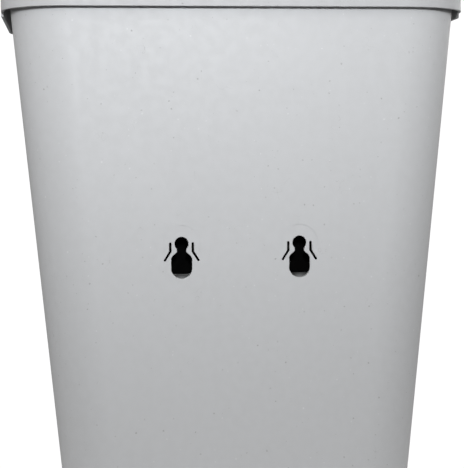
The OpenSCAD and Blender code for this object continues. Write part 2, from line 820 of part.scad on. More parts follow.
// The steel shaft with the cross bar that turns under the deck.
module lock_bar() {
    color([0.7, 0.7, 0.72]) translate([0, lock_y, 0]) difference() {
        union() {
            translate([0, 0, bar_z]) cylinder(r = shaft_r, h = shaft_top - bar_z);
            translate([-bar_len / 2, -lock_bar_w / 2, bar_z]) cube([bar_len, lock_bar_w, bar_t]);
        }
        translate([0, 0, shaft_top - lock_screw_len]) cylinder(r = socket_r, h = lock_screw_len + cut);
    }
}

module lock_bush() {
    color([0.92, 0.92, 0.88]) translate([0, lock_y, 0]) difference() {
        union() {
            translate([0, 0, rim_z]) cylinder(r = bush_r, h = lock_top - rim_z);
            translate([0, 0, rim_z - bush_head_t]) cylinder(r = bush_head_r, h = bush_head_t);
        }
        cylinder(r = shaft_r + run_gap, h = 2 * body_h);
    }
}

module lock_screw() {
    head_z = lock_top + loose_gap + knob_h - lock_recess;
    color([0.7, 0.7, 0.72]) translate([0, lock_y, 0]) {
        translate([0, 0, head_z]) cylinder(r = lock_head_r, h = lock_head_h);
        translate([0, 0, head_z - lock_screw_len + 1]) cylinder(r = lock_screw_r, h = lock_screw_len);
    }
}

bin_body();
wall_bumpers();
keyhole_guard_left();
keyhole_guard_right();
guard_screws();
top_frame();
frame_screws();
hinge_bridge();
bridge_screws();
hinge_rod();
rod_caps();
bag_ring();
lid();
hinge_bushes();
lid_liner();
liner_screws();
lid_seal();
lid_buffers();
filter_pad();
filter_cover();
lock_knob();
lock_bar();
lock_bush();
lock_screw();
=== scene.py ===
"""Looks for a wall-hung dog waste bin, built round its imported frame.

The scene is in metres, +Z up. The front of the bin faces -Y and the wall side faces +Y. The
sub-assemblies, screws and finishes give their sizes in millimetres, which MM turns into metres.
The node groups and the studio give theirs in metres, and textures' scales are per metre. Each
sub-assembly is a class that builds its pieces, and each finish is a small class that builds one
procedural material.
"""
import json
import logging
import math
from dataclasses import dataclass, field, replace
from enum import Enum
from typing import Callable, Optional, Sequence

import bmesh
import bpy
from mathutils import Matrix, Vector, noise


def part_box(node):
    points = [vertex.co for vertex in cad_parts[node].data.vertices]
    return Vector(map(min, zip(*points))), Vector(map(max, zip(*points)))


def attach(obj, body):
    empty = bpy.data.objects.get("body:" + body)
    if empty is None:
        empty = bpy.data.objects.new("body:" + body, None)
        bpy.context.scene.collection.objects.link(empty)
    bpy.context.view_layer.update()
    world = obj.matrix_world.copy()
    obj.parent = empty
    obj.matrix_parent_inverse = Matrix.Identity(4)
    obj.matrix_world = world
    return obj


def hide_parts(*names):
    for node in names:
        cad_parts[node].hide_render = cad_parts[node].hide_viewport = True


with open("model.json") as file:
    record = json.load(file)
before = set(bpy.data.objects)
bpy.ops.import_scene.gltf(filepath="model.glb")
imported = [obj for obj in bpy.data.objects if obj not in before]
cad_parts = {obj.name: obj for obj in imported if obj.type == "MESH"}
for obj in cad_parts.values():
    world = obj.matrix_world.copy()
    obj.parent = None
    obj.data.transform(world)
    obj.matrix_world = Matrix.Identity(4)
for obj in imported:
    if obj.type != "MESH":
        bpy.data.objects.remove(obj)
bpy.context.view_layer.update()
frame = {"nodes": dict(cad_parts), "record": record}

log = logging.getLogger("dog_waste_bin")

MM = 0.001
FULL_TURN = 2 * math.pi
WELD = 0.02 * MM
SEAM_WELD = 0.01 * MM
FINE_WELD = 0.002 * MM
NEAR = 0.1 * MM
FLAT_ANGLE = math.radians(0.6)
SHARP_ANGLE = math.radians(35)
FOLD_ANGLE = math.radians(140)
FOLD_REACH = 1.5
SORT_DIGITS = 5
EDGE_LAYER = "edge"
# layer that marks where shade is painted into a mesh's colour
SHADE_LAYER = "painted_shade"

Point = tuple[float, float, float]
Colour = tuple[float, float, float, float]
Range = tuple[float, float]
Outline = Sequence[tuple[float, float]]
Box = tuple[Vector, Vector]
EdgeTest = Callable[[Vector], bool]
Mesh = bmesh.types.BMesh
Node = bpy.types.Node
Socket = bpy.types.NodeSocket
Surface = tuple[Socket, Socket]


class Axis(Enum):
    """Directions that a turned piece can stand along."""

    UP = Vector((0, 0, 1))
    DOWN = Vector((0, 0, -1))
    RIGHT = Vector((1, 0, 0))
    LEFT = Vector((-1, 0, 0))
    WALL = Vector((0, 1, 0))
    FRONT = Vector((0, -1, 0))


# ---- places and boxes ----


def middle_of(box: Box) -> Vector:
    """Returns the middle of a box, in metres."""
    low, high = box
    return (low + high) / 2


def size_of(box: Box) -> Vector:
    """Returns the size of a box along X, Y and Z, in millimetres."""
    low, high = box
    return (high - low) / MM


def start_of(box: Box, axis: Axis) -> Vector:
    """Finds where a piece that fills a box starts.

    Args:
        box: Lowest and highest corner, in metres.
        axis: Direction that the piece points in.

    Returns:
        The middle of the face that the piece points away from.
    """
    reach = size_of(box) * MM / 2
    return middle_of(box) - Vector([side * half for side, half in zip(axis.value, reach)])


def body_of(node: str) -> str:
    """Returns the name of the body that a CAD node is on."""
    bodies = frame["record"]["behaviour"]["bodies"]
    return next(body for body, nodes in bodies.items() if node in nodes)


# ---- mesh tools ----


def cad_copy(node: str) -> Mesh:
    """Copies a CAD node's mesh, welds it and joins its flat triangles.

    Args:
        node: Name of the CAD node.

    Returns:
        A new bmesh in the frame's own place.
    """
    bm = bmesh.new()
    bm.from_mesh(frame["nodes"][node].data)
    bmesh.ops.remove_doubles(bm, verts=bm.verts, dist=WELD)
    bmesh.ops.dissolve_degenerate(bm, edges=bm.edges, dist=WELD)
    bmesh.ops.dissolve_limit(bm, angle_limit=FLAT_ANGLE, verts=bm.verts, edges=bm.edges)
    return bm


def add_to(target: Mesh, part: Mesh) -> None:
    """Adds one mesh to another and frees the added one.

    Args:
        target: Mesh that grows.
        part: Mesh that is added; it is freed.
    """
    holder = bpy.data.meshes.new("holder")
    part.to_mesh(holder)
    target.from_mesh(holder)
    bpy.data.meshes.remove(holder)
    part.free()


def folded_places(bm: Mesh) -> list[Vector]:
    """Returns the ends of the edges at which a mesh folds back on itself."""
    return [
        vert.co.copy()
        for edge in bm.edges
        if edge.is_manifold and edge.calc_face_angle(0) > FOLD_ANGLE
        for vert in edge.verts
    ]


def clear_of(place: Vector, others: Sequence[Vector], reach: float) -> bool:
    """Says whether a place is further than a reach from all the others."""
    return all((place - other).length > reach for other in others)


def round_edges(bm: Mesh, edges: list[bmesh.types.BMEdge], width: float, segments: int) -> None:
    """Bevels edges and marks the rounding for the edge wear.

    Args:
        bm: Mesh to change.
        edges: Edges to round.
        width: Width of the rounding, in millimetres.
        segments: Number of strips across the rounding.
    """
    worn = bm.loops.layers.float.get(EDGE_LAYER) or bm.loops.layers.float.new(EDGE_LAYER)
    rounded = bmesh.ops.bevel(
        bm, geom=edges, offset=width * MM, offset_type="OFFSET", segments=segments,
        profile=0.5, affect="EDGES", clamp_overlap=False, material=-1,
    )
    strips = set(rounded["faces"])
    for face in strips:
        for loop in face.loops:
            loop[worn] = float(all(other in strips for other in loop.vert.link_faces))


def soften(bm: Mesh, width: float, where: Optional[EdgeTest] = None, segments: int = 2,
           tries: int = 6) -> None:
    """Rounds a mesh's sharp edges, and leaves sharp those beside which the rounding would fold over.

    Args:
        bm: Mesh to change.
        width: Width of the rounding, in millimetres.
        where: Takes an edge's middle and says whether it is rounded; all of them without it.
        segments: Number of strips across the rounding.
        tries: How often the rounding is begun again with fewer edges.
    """
    start = bm.copy()
    reach = FOLD_REACH * width * MM
    tight = folded_places(start)
    for _ in range(tries):
        trial = start.copy()
        sharp = [
            edge
            for edge in trial.edges
            if edge.is_manifold
            and edge.calc_face_angle(0) > SHARP_ANGLE
            and (where is None or where((edge.verts[0].co + edge.verts[1].co) / 2))
            and all(clear_of(vert.co, tight, reach) for vert in edge.verts)
        ]
        round_edges(trial, sharp, width, segments)
        folded = [place for place in folded_places(trial) if clear_of(place, tight, reach)]
        if not folded:
            break
        tight += folded
    start.free()
    bm.clear()
    add_to(bm, trial)


def lathe(outline: Outline, steps: int = 48, closed: bool = False) -> Mesh:
    """Spins an outline about the Z axis.

    Args:
        outline: (radius, height) pairs in millimetres.
        steps: Number of steps in the full turn.
        closed: Whether the outline's ends are joined, as on a ring.

    Returns:
        A new closed bmesh that stands on the origin.
    """
    bm = bmesh.new()
    verts = [bm.verts.new((radius * MM, 0, height * MM)) for radius, height in outline]
    pairs = list(zip(verts, verts[1:]))
    if closed:
        pairs.append((verts[-1], verts[0]))
    edges = [bm.edges.new(pair) for pair in pairs]
    bmesh.ops.spin(
        bm, geom=verts + edges, cent=(0, 0, 0), axis=(0, 0, 1), dvec=(0, 0, 0),
        angle=FULL_TURN, steps=steps, use_merge=True,
    )
    bmesh.ops.remove_doubles(bm, verts=bm.verts, dist=FINE_WELD)
    bmesh.ops.recalc_face_normals(bm, faces=bm.faces)
    return bm


def stand(bm: Mesh, place: Sequence[float], axis: Axis = Axis.UP) -> Mesh:
    """Turns a mesh from +Z to an axis and moves it to its place.

    Args:
        bm: Mesh to move.
        place: Where its origin goes, in metres.
        axis: Direction its +Z turns to.

    Returns:
        The same mesh.
    """
    turn = Vector((0, 0, 1)).rotation_difference(axis.value).to_matrix().to_4x4()
    bmesh.ops.transform(bm, matrix=Matrix.Translation(place) @ turn, verts=bm.verts)
    return bm


def sweep_rounded(section: Outline, width: float, depth: float, radius: float, centre_y: float,
                  corner_steps: int = 12) -> Mesh:
    """Carries a closed section round a rounded rectangle.

    Args:
        section: (outward offset, height) pairs in millimetres, going round the section.
        width: Size of the path along X, in millimetres.
        depth: Size of the path along Y, in millimetres.
        radius: Corner radius of the path, in millimetres.
        centre_y: Middle of the path along Y, in millimetres.
        corner_steps: Number of steps round each corner.

    Returns:
        A new closed bmesh.
    """
    bm = bmesh.new()
    reach_x = width / 2 - radius
    reach_y = depth / 2 - radius
    start_y = (centre_y - reach_y) * MM
    verts = [bm.verts.new(((width / 2 + out) * MM, start_y, height * MM)) for out, height in section]
    ends = [bm.edges.new(pair) for pair in zip(verts, verts[1:] + verts[:1])]
    for side_x, side_y, run_x, run_y in ((1, 1, 0, 2), (-1, 1, -2, 0), (-1, -1, 0, -2), (1, -1, 2, 0)):
        grown = bmesh.ops.extrude_edge_only(bm, edges=ends)["geom"]
        fresh = [part for part in grown if isinstance(part, bmesh.types.BMVert)]
        bmesh.ops.translate(bm, verts=fresh, vec=(run_x * reach_x * MM, run_y * reach_y * MM, 0))
        new_verts = set(fresh)
        leading = [
            part
            for part in grown
            if isinstance(part, bmesh.types.BMEdge) and new_verts.issuperset(part.verts)
        ]
        corner = (side_x * reach_x * MM, (centre_y + side_y * reach_y) * MM, 0)
        spun = bmesh.ops.spin(
            bm, geom=fresh + leading, cent=corner, axis=(0, 0, 1), dvec=(0, 0, 0),
            angle=FULL_TURN / 4, steps=corner_steps, use_merge=False,
        )
        ends = [part for part in spun["geom_last"] if isinstance(part, bmesh.types.BMEdge)]
    bmesh.ops.remove_doubles(bm, verts=bm.verts, dist=SEAM_WELD)
    bmesh.ops.recalc_face_normals(bm, faces=bm.faces)
    return bm


def carve(target: Mesh, cutter: Mesh) -> Mesh:
    """Cuts one closed mesh out of another.

    Args:
        target: Mesh that is cut; it is freed.
        cutter: Mesh that cuts; it is freed.

    Returns:
        A new bmesh with the cut.
    """
    holders = []
    for name, part in (("target", target), ("cutter", cutter)):
        mesh = bpy.data.meshes.new(name)
        part.to_mesh(mesh)
        part.free()
        holders.append(bpy.data.objects.new(name, mesh))
        bpy.context.scene.collection.objects.link(holders[-1])
    body, tool = holders
    boolean = body.modifiers.new("cut", "BOOLEAN")
    boolean.operation = "DIFFERENCE"
    boolean.solver = "EXACT"
    boolean.object = tool
    bpy.context.view_layer.update()
    result = bmesh.new()
    result.from_object(body, bpy.context.evaluated_depsgraph_get())
    for holder in holders:
        mesh = holder.data
        bpy.data.objects.remove(holder)
        bpy.data.meshes.remove(mesh)
    return result


def solid_boxes(node: str) -> list[Box]:
    """Finds the separate solids in a CAD node.

    Args:
        node: Name of the CAD node.

    Returns:
        The lowest and the highest corner of each solid, ordered by X, Y and Z.
    """
    bm = cad_copy(node)
    unseen = set(bm.verts)
    boxes = []
    while unseen:
        solid = set()
        waiting = [unseen.pop()]
        while waiting:
            vert = waiting.pop()
            solid.add(vert)
            linked = {edge.other_vert(vert) for edge in vert.link_edges} & unseen
            unseen -= linked
            waiting.extend(linked)
        low = Vector([min(vert.co[i] for vert in solid) for i in range(3)])
        high = Vector([max(vert.co[i] for vert in solid) for i in range(3)])
        boxes.append((low, high))
    bm.free()
    return sorted(boxes, key=lambda box: tuple(round(value, SORT_DIGITS) for value in box[0]))


# ---- material tools ----


class Links:
    """Shorthand for building a node tree."""

    def __init__(self, tree: bpy.types.NodeTree) -> None:
        """Keeps the tree that the nodes go into."""
        self.tree = tree

    def node(self, kind: str, **settings: object) -> Node:
        """Adds a node.

        Args:
            kind: Blender's node type.
            **settings: Properties of the node, or values of its inputs by name.

        Returns:
            The new node.
        """
        made = self.tree.nodes.new(kind)
        for name, value in settings.items():
            if hasattr(made, name):
                setattr(made, name, value)
            else:
                made.inputs[name.replace("_", " ")].default_value = value
        return made

    def join(self, source: Socket, target: Socket) -> None:
        """Links an output to an input."""
        self.tree.links.new(source, target)

    def feed(self, value: object, target: Socket) -> None:
        """Links a socket to an input, or sets a plain value on it."""
        if isinstance(value, bpy.types.NodeSocket):
            self.join(value, target)
        else:
            target.default_value = value

    def place(self) -> Socket:
        """Returns a point's place on its own object."""
        return self.node("ShaderNodeTexCoord").outputs["Object"]

    def noise(self, place: Socket, scale: object, detail: float, roughness: float = 0.5) -> Node:
        """Adds a noise texture over a place; its scale is a socket or a number."""
        made = self.node("ShaderNodeTexNoise", Detail=detail, Roughness=roughness)
        self.join(place, made.inputs["Vector"])
        self.feed(scale, made.inputs["Scale"])
        return made

    def math(self, operation: str, first: object, second: object = 0.0) -> Socket:
        """Adds a Math node over two sockets or numbers and returns its output."""
        made = self.tree.nodes.new("ShaderNodeMath")
        made.operation = operation
        for socket, value in zip(made.inputs, (first, second)):
            self.feed(value, socket)
        return made.outputs[0]

    def times(self, first: object, second: object) -> Socket:
        """Multiplies two sockets or numbers and returns the product."""
        return self.math("MULTIPLY", first, second)

    def line(self, source: Socket, edges: Range) -> Socket:
        """Returns 1 along the lines where a noise crosses its middle, and 0 away from them."""
        away = self.math("ABSOLUTE", self.math("SUBTRACT", source, 0.5))
        return self.ramp(away, edges, (1.0, 0.0))

    def ramp(self, source: Socket, edges: Range, ends: Range = (0.0, 1.0)) -> Socket:
        """Adds a smooth ramp between two edges, from one end value to the other."""
        made = self.tree.nodes.new("ShaderNodeMapRange")
        made.interpolation_type = "SMOOTHSTEP"
        self.join(source, made.inputs["Value"])
        made.inputs["From Min"].default_value, made.inputs["From Max"].default_value = edges
        made.inputs["To Min"].default_value, made.inputs["To Max"].default_value = ends
        return made.outputs["Result"]

    def mix(self, factor: object, first: object, second: object) -> Socket:
        """Mixes two colours, each a socket or a tuple, and returns the mixed colour."""
        made = self.tree.nodes.new("ShaderNodeMix")
        made.data_type = "RGBA"
        colours = [socket for socket in made.inputs if socket.type == "RGBA"]
        for socket, value in zip([made.inputs[0]] + colours, (factor, first, second)):
            self.feed(value, socket)
        return next(socket for socket in made.outputs if socket.type == "RGBA")


def group_tree(name: str, inputs: dict[str, float], outputs: Sequence[str]) -> tuple[Links, Node, Node]:
    """Starts a shader node group whose sockets are all numbers.

    Args:
        name: Name of the group.
        inputs: Input names and their usual values.
        outputs: Output names.

    Returns:
        Its links, its input node and its output node.
    """
    tree = bpy.data.node_groups.new(name, "ShaderNodeTree")
    for socket, value in inputs.items():
        made = tree.interface.new_socket(name=socket, in_out="INPUT", socket_type="NodeSocketFloat")
        made.default_value = value
    for socket in outputs:
        tree.interface.new_socket(name=socket, in_out="OUTPUT", socket_type="NodeSocketFloat")
    links = Links(tree)
    return links, links.node("NodeGroupInput"), links.node("NodeGroupOutput")


@dataclass(frozen=True)
class Scatter:
    """One layer of spots: how much finer its cells are, the share of them kept, and the spots' swell."""

    finer: float
    share: float
    swell: float


@dataclass(frozen=True)
class SpeckGroup:
    """Sparse specks in moulded plastic: coarse and fine dark ones, pale ones and short fibres."""

    cell: float = 0.006
    size: float = 0.0007
    coarse: Scatter = Scatter(1.0, 0.62, 1.0)
    fine: Scatter = Scatter(2.1, 0.24, 0.62)
    pale: Scatter = Scatter(1.37, 0.19, 1.1)
    ragged_scale: float = 900.0
    ragged_shift: float = 0.0012
    sizes: Range = (0.45, 1.0)
    depths: Range = (0.35, 1.0)
    spot_edges: Range = (0.55, 1.0)
    fibre_scale: float = 260.0
    fibre_edges: Range = (0.004, 0.010)
    fibre_depth: float = 0.45
    gate_scale: float = 55.0
    gate_edges: Range = (0.66, 0.72)
    cloud_scale: float = 24.0
    cloud_edges: Range = (0.3, 0.7)

    def build(self) -> bpy.types.NodeTree:
        """Builds the group.

        Returns:
            A group with Dark, Pale and Cloud outputs, from 0 to 1.
        """
        given_sizes = {"Cell": self.cell, "Size": self.size}
        links, given, out = group_tree("plastic_specks", given_sizes, ("Dark", "Pale", "Cloud"))
        place = links.place()
        fibres = links.noise(place, self.fibre_scale, 0.0)
        gate = links.noise(place, self.gate_scale, 1.0)
        cloud = links.noise(place, self.cloud_scale, 3.0, 0.55)
        opened = links.ramp(gate.outputs[0], self.gate_edges, (0.0, self.fibre_depth))
        strand = links.times(links.line(fibres.outputs[0], self.fibre_edges), opened)
        coarse = self.spots(links, given, place, self.coarse)
        fine = self.spots(links, given, place, self.fine)
        dark = links.math("MAXIMUM", links.math("MAXIMUM", coarse, fine), strand)
        links.join(dark, out.inputs["Dark"])
        links.join(self.spots(links, given, place, self.pale), out.inputs["Pale"])
        links.join(links.ramp(cloud.outputs[0], self.cloud_edges), out.inputs["Cloud"])
        return links.tree

    def spots(self, links: Links, given: Node, place: Socket, scatter: Scatter) -> Socket:
        """Scatters spots: one in each cell, kept in a share of the cells, with ragged edges.

        Args:
            links: The group's links.
            given: The group's input node.
            place: The place on the object.
            scatter: What this layer of spots is like.

        Returns:
            How strong the spot is, from 0 to 1.
        """
        per_metre = links.math("DIVIDE", 1.0, given.outputs["Cell"])
        ragged = links.noise(place, self.ragged_scale, 1.0, 0.6)
        shift = links.node("ShaderNodeVectorMath", operation="MULTIPLY_ADD")
        links.join(ragged.outputs["Color"], shift.inputs[0])
        shift.inputs[1].default_value = (self.ragged_shift,) * 3
        links.join(place, shift.inputs[2])
        cells = links.node("ShaderNodeTexVoronoi", feature="F1", Randomness=1.0)
        links.join(shift.outputs[0], cells.inputs["Vector"])
        links.join(links.times(per_metre, scatter.finer), cells.inputs["Scale"])
        pick = links.node("ShaderNodeSeparateColor")
        links.join(cells.outputs["Color"], pick.inputs[0])
        kept = links.math("LESS_THAN", pick.outputs[0], scatter.share)
        bigness = links.ramp(pick.outputs[1], (0.0, 1.0), self.sizes)
        reach = links.times(links.times(given.outputs["Size"], per_metre), scatter.finer * scatter.swell)
        near = links.math("DIVIDE", cells.outputs["Distance"], links.times(reach, bigness))
        spot = links.ramp(near, self.spot_edges, (1.0, 0.0))
        depth = links.ramp(pick.outputs[2], (0.0, 1.0), self.depths)
        return links.times(links.times(spot, kept), depth)


@dataclass(frozen=True)
class GrainGroup:
    """The fine grain of a moulded or cast surface."""

    scale: float = 2500.0
    coarse: float = 160.0
    fine_share: float = 0.6
    coarse_share: float = 0.4
    variation_edges: Range = (0.32, 0.68)

    def build(self) -> bpy.types.NodeTree:
        """Builds the group.

        Returns:
            A group with Height and Variation outputs, from 0 to 1.
        """
        given_sizes = {"Scale": self.scale, "Coarse": self.coarse}
        links, given, out = group_tree("surface_grain", given_sizes, ("Height", "Variation"))
        place = links.place()
        fine = links.noise(place, given.outputs["Scale"], 2.0, 0.6).outputs[0]
        coarse = links.noise(place, given.outputs["Coarse"], 4.0).outputs[0]
        fine_height = links.times(fine, self.fine_share)
        coarse_height = links.times(coarse, self.coarse_share)
        links.join(links.math("ADD", fine_height, coarse_height), out.inputs["Height"])
        links.join(links.ramp(coarse, self.variation_edges), out.inputs["Variation"])
        return links.tree


@dataclass(frozen=True)
class WearGroup:
    """The wear of rounded edges, the scuffs of handling and the dust on what faces up."""

    patch: float = 35.0
    scratch: float = 420.0
    scratch_turn: Point = (0.3, 0.5, 0.7)
    scratch_stretch: Point = (1.0, 0.08, 0.3)
    broken_edges: Range = (0.35, 0.62)
    least_wear: float = 0.25
    line_edges: Range = (0.002, 0.008)
    scuffed_edges: Range = (0.56, 0.70)
    dusty_edges: Range = (0.75, 1.0)

    def build(self) -> bpy.types.NodeTree:
        """Builds the group.

        Returns:
            A group with Edge, Scuff and Dust outputs, from 0 to 1.
        """
        given_sizes = {"Patch": self.patch, "Scratch": self.scratch}
        links, given, out = group_tree("edge_wear", given_sizes, ("Edge", "Scuff", "Dust"))
        place = links.place()
        patch = links.noise(place, given.outputs["Patch"], 4.0, 0.65).outputs[0]
        stretch = links.node("ShaderNodeMapping")
        stretch.inputs["Rotation"].default_value = self.scratch_turn
        stretch.inputs["Scale"].default_value = self.scratch_stretch
        links.join(place, stretch.inputs["Vector"])
        scratch = links.noise(stretch.outputs[0], given.outputs["Scratch"], 1.0).outputs[0]
        mark = links.node("ShaderNodeAttribute", attribute_name=EDGE_LAYER)
        broken = links.ramp(patch, self.broken_edges, (self.least_wear, 1.0))
        links.join(links.times(mark.outputs["Fac"], broken), out.inputs["Edge"])
        scuffed = links.ramp(patch, self.scuffed_edges)
        links.join(links.times(links.line(scratch, self.line_edges), scuffed), out.inputs["Scuff"])
        facing = links.node("ShaderNodeSeparateXYZ")
        links.join(links.node("ShaderNodeTexCoord").outputs["Normal"], facing.inputs[0])
        lying = links.ramp(facing.outputs["Z"], self.dusty_edges)
        links.join(links.times(lying, broken), out.inputs["Dust"])
        return links.tree


@dataclass(frozen=True)
class PoreGroup:
    """The open cells of filter foam."""

    scale: float = 620.0
    unevenness: float = 0.9
    wall_edges: Range = (0.05, 0.22)

    def build(self) -> bpy.types.NodeTree:
        """Builds the group.

        Returns:
            A group with Height and Hole outputs, from 0 to 1.
        """
        links, given, out = group_tree("foam_pores", {"Scale": self.scale}, ("Height", "Hole"))
        cells = links.node("ShaderNodeTexVoronoi", feature="DISTANCE_TO_EDGE", Randomness=self.unevenness)
        links.join(links.place(), cells.inputs["Vector"])
        links.join(given.outputs["Scale"], cells.inputs["Scale"])
        # the cells' hollows, where the foam paints shade and sinks the bump
        hole_shade = links.ramp(cells.outputs["Distance"], self.wall_edges)
        links.join(hole_shade, out.inputs["Hole"])
        links.join(links.math("SUBTRACT", 1.0, hole_shade), out.inputs["Height"])
        return links.tree


@dataclass
class Effects:
    """The shared node groups, built once."""

    specks: bpy.types.NodeTree = field(default_factory=lambda: SpeckGroup().build())
    grain: bpy.types.NodeTree = field(default_factory=lambda: GrainGroup().build())
    wear: bpy.types.NodeTree = field(default_factory=lambda: WearGroup().build())
    pores: bpy.types.NodeTree = field(default_factory=lambda: PoreGroup().build())


# ---- finishes ----


def grey(level: float, blue: float = 0.0) -> Colour:
    """Returns a grey of a linear level with a little more or less blue in it."""
    return (level * (1 - blue / 2), level, level * (1 + blue), 1.0)


@dataclass(frozen=True)
class Finish:
    """A procedural finish that every material here starts from."""

    name: str
    base: Colour
    tint: Colour
    roughness: float = 0.45
    roughness_spread: float = 0.10
    metallic: float = 0.0
    specular: float = 0.5
    grain_scale: float = 2500.0
    grain_height: float = 0.03
    grain_strength: float = 0.6
    worn: Colour = (0.8, 0.8, 0.8, 1.0)
    wear: float = 0.3
    wear_polish: float = 0.12
    scuff: float = 0.15
    scuff_dulling: float = 0.10
    dust: float = 0.1
    dust_colour: Colour = (0.62, 0.60, 0.56, 1.0)

    def build(self, effects: Effects) -> bpy.types.Material:
        """Builds the material.

        Args:
            effects: The shared node groups.

        Returns:
            The finished material.
        """
        material = bpy.data.materials.new(self.name)
        material.use_nodes = True
        links = Links(material.node_tree)
        material.node_tree.nodes.clear()
        shader = links.node("ShaderNodeBsdfPrincipled")
        shader.inputs["Metallic"].default_value = self.metallic
        shader.inputs["Specular IOR Level"].default_value = self.specular
        output = links.node("ShaderNodeOutputMaterial")
        links.join(shader.outputs[0], output.inputs["Surface"])
        grain = links.node("ShaderNodeGroup", node_tree=effects.grain)
        grain.inputs["Scale"].default_value = self.grain_scale
        wear = links.node("ShaderNodeGroup", node_tree=effects.wear)
        colour = links.mix(grain.outputs["Variation"], self.base, self.tint)
        colour, height = self.details(links, effects, colour, grain.outputs["Height"])
        layers = (
            ("Edge", self.wear, self.worn),
            ("Scuff", self.scuff, self.worn),
            ("Dust", self.dust, self.dust_colour),
        )
        for mask, share, layer in layers:
            colour = links.mix(links.times(wear.outputs[mask], share), colour, layer)
        links.join(colour, shader.inputs["Base Color"])
        spread = (self.roughness - self.roughness_spread, self.roughness + self.roughness_spread)
        rough = links.ramp(grain.outputs["Variation"], (0.0, 1.0), spread)
        rough = links.math("SUBTRACT", rough, links.times(wear.outputs["Edge"], self.wear_polish))
        rough = links.math("ADD", rough, links.times(wear.outputs["Scuff"], self.scuff_dulling))
        links.join(rough, shader.inputs["Roughness"])
        bump = links.node("ShaderNodeBump", Strength=self.grain_strength)
        bump.inputs["Distance"].default_value = self.grain_height * MM
        links.join(height, bump.inputs["Height"])
        links.join(bump.outputs[0], shader.inputs["Normal"])
        return material

    def details(self, links: Links, effects: Effects, colour: Socket, height: Socket) -> Surface:
        """Adds what one kind of finish has beyond grain and wear.

        Args:
            links: The material's links.
            effects: The shared node groups.
            colour: The colour so far.
            height: The bump height so far.

        Returns:
            The colour and the height with the details in them.
        """
        return colour, height


@dataclass(frozen=True)
class SpeckledPlastic(Finish):
    """Recycled light-grey plastic with dark and pale specks in it."""

    dark: Colour = (0.13, 0.12, 0.11, 1.0)
    dark_share: float = 0.42
    dark_pit: float = 0.5
    pale: Colour = (0.86, 0.86, 0.86, 1.0)
    pale_share: float = 0.30
    cloud_share: float = 0.4
    # painted shade: the near-black mixed in where a mesh is marked with the shade layer
    painted_shade: Colour = (0.008, 0.008, 0.007, 1.0)
    speck_size: float = 0.7
    speck_cell: float = 6.0

    def details(self, links: Links, effects: Effects, colour: Socket, height: Socket) -> Surface:
        """Adds the faint clouding of the melt, the specks, and painted shade where a mesh is marked for it.
        """
        specks = links.node("ShaderNodeGroup", node_tree=effects.specks)
        specks.inputs["Cell"].default_value = self.speck_cell * MM
        specks.inputs["Size"].default_value = self.speck_size * MM
        colour = links.mix(links.times(specks.outputs["Cloud"], self.cloud_share), colour, self.base)
        colour = links.mix(links.times(specks.outputs["Pale"], self.pale_share), colour, self.pale)
        colour = links.mix(links.times(specks.outputs["Dark"], self.dark_share), colour, self.dark)
        # painted shade, read from the mesh's shade layer
        shade_mark = links.node("ShaderNodeAttribute", attribute_name=SHADE_LAYER)
        colour = links.mix(shade_mark.outputs["Fac"], colour, self.painted_shade)
        return colour, links.math("SUBTRACT", height, links.times(specks.outputs["Dark"], self.dark_pit))


@dataclass(frozen=True)
class OpenFoam(Finish):
    """Black open-cell foam loaded with charcoal."""

    # painted shade inside the foam's open cells
    hole_shade: Colour = (0.004, 0.004, 0.004, 1.0)
    skin_share: float = 0.2

    def details(self, links: Links, effects: Effects, colour: Socket, height: Socket) -> Surface:
        """Adds the cells, with painted shade in their hollows."""
        pores = links.node("ShaderNodeGroup", node_tree=effects.pores)
        colour = links.mix(pores.outputs["Hole"], colour, self.hole_shade)
        return colour, links.math("ADD", links.times(height, self.skin_share), pores.outputs["Height"])


STONE_PLASTIC = SpeckledPlastic(
    "stone_plastic", grey(0.57, 0.012), grey(0.555, 0.010), roughness=0.52, roughness_spread=0.05,
    specular=0.25, grain_height=0.02, worn=grey(0.68), wear=0.35, scuff=0.10, dust=0.05,
)
# a darker copy of the stone plastic for the lid, the top frame and the bridge: painted shade, since their
# upright faces catch more of the lights than the leaning wall
SHADED_STONE_PLASTIC = replace(
    STONE_PLASTIC, name="shaded_stone_plastic", base=grey(0.495, 0.012), tint=grey(0.480, 0.010), worn=grey(0.64),
)
INNER_PLASTIC = SpeckledPlastic(
    "inner_plastic", grey(0.40, 0.01), grey(0.36), roughness=0.5, worn=grey(0.52), speck_cell=8.0,
)
FILTER_PLASTIC = Finish(
    "filter_plastic", grey(0.30, 0.03), grey(0.26, 0.02), roughness=0.42, worn=grey(0.45),
)
BLACK_PLASTIC = Finish(
    "black_plastic", grey(0.012, 0.05), grey(0.018, 0.05), roughness=0.50, specular=0.35,
    grain_height=0.05, worn=grey(0.09), wear=0.5, dust=0.03,
)
# a much darker copy of the black plastic for the keyhole guards: painted shade for the dark pockets behind
# the keyholes
SHADED_BLACK = Finish(
    "shaded_black", grey(0.0012), grey(0.0020), roughness=0.75, specular=0.03,
    grain_height=0.05, worn=grey(0.006), wear=0.3, scuff=0.05, dust=0.002,
)
NYLON = Finish(
    "nylon", (0.78, 0.76, 0.68, 1.0), (0.70, 0.67, 0.58, 1.0), roughness=0.38, worn=grey(0.85),
)
STEEL = Finish(
    "steel", grey(0.56, 0.03), grey(0.44, 0.03), roughness=0.30, metallic=1.0, grain_scale=1400.0,
    grain_height=0.01, worn=grey(0.80), wear=0.6, dust=0.0,
)
RUBBER = Finish(
    "rubber", grey(0.014), grey(0.024), roughness=0.72, specular=0.35, grain_scale=1500.0,
    grain_height=0.08, worn=grey(0.07), wear=0.5, dust=0.05,
)
CHARCOAL_FOAM = OpenFoam(
    "charcoal_foam", grey(0.030), grey(0.020), roughness=0.95, roughness_spread=0.03, specular=0.2,
    grain_height=0.5, worn=grey(0.05), dust=0.0,
)
ALL_FINISHES = (
    STONE_PLASTIC, SHADED_STONE_PLASTIC, INNER_PLASTIC, FILTER_PLASTIC, BLACK_PLASTIC, SHADED_BLACK, NYLON, STEEL,
    RUBBER, CHARCOAL_FOAM,
)
FINISHES: dict[str, Finish] = {finish.name: finish for finish in ALL_FINISHES}


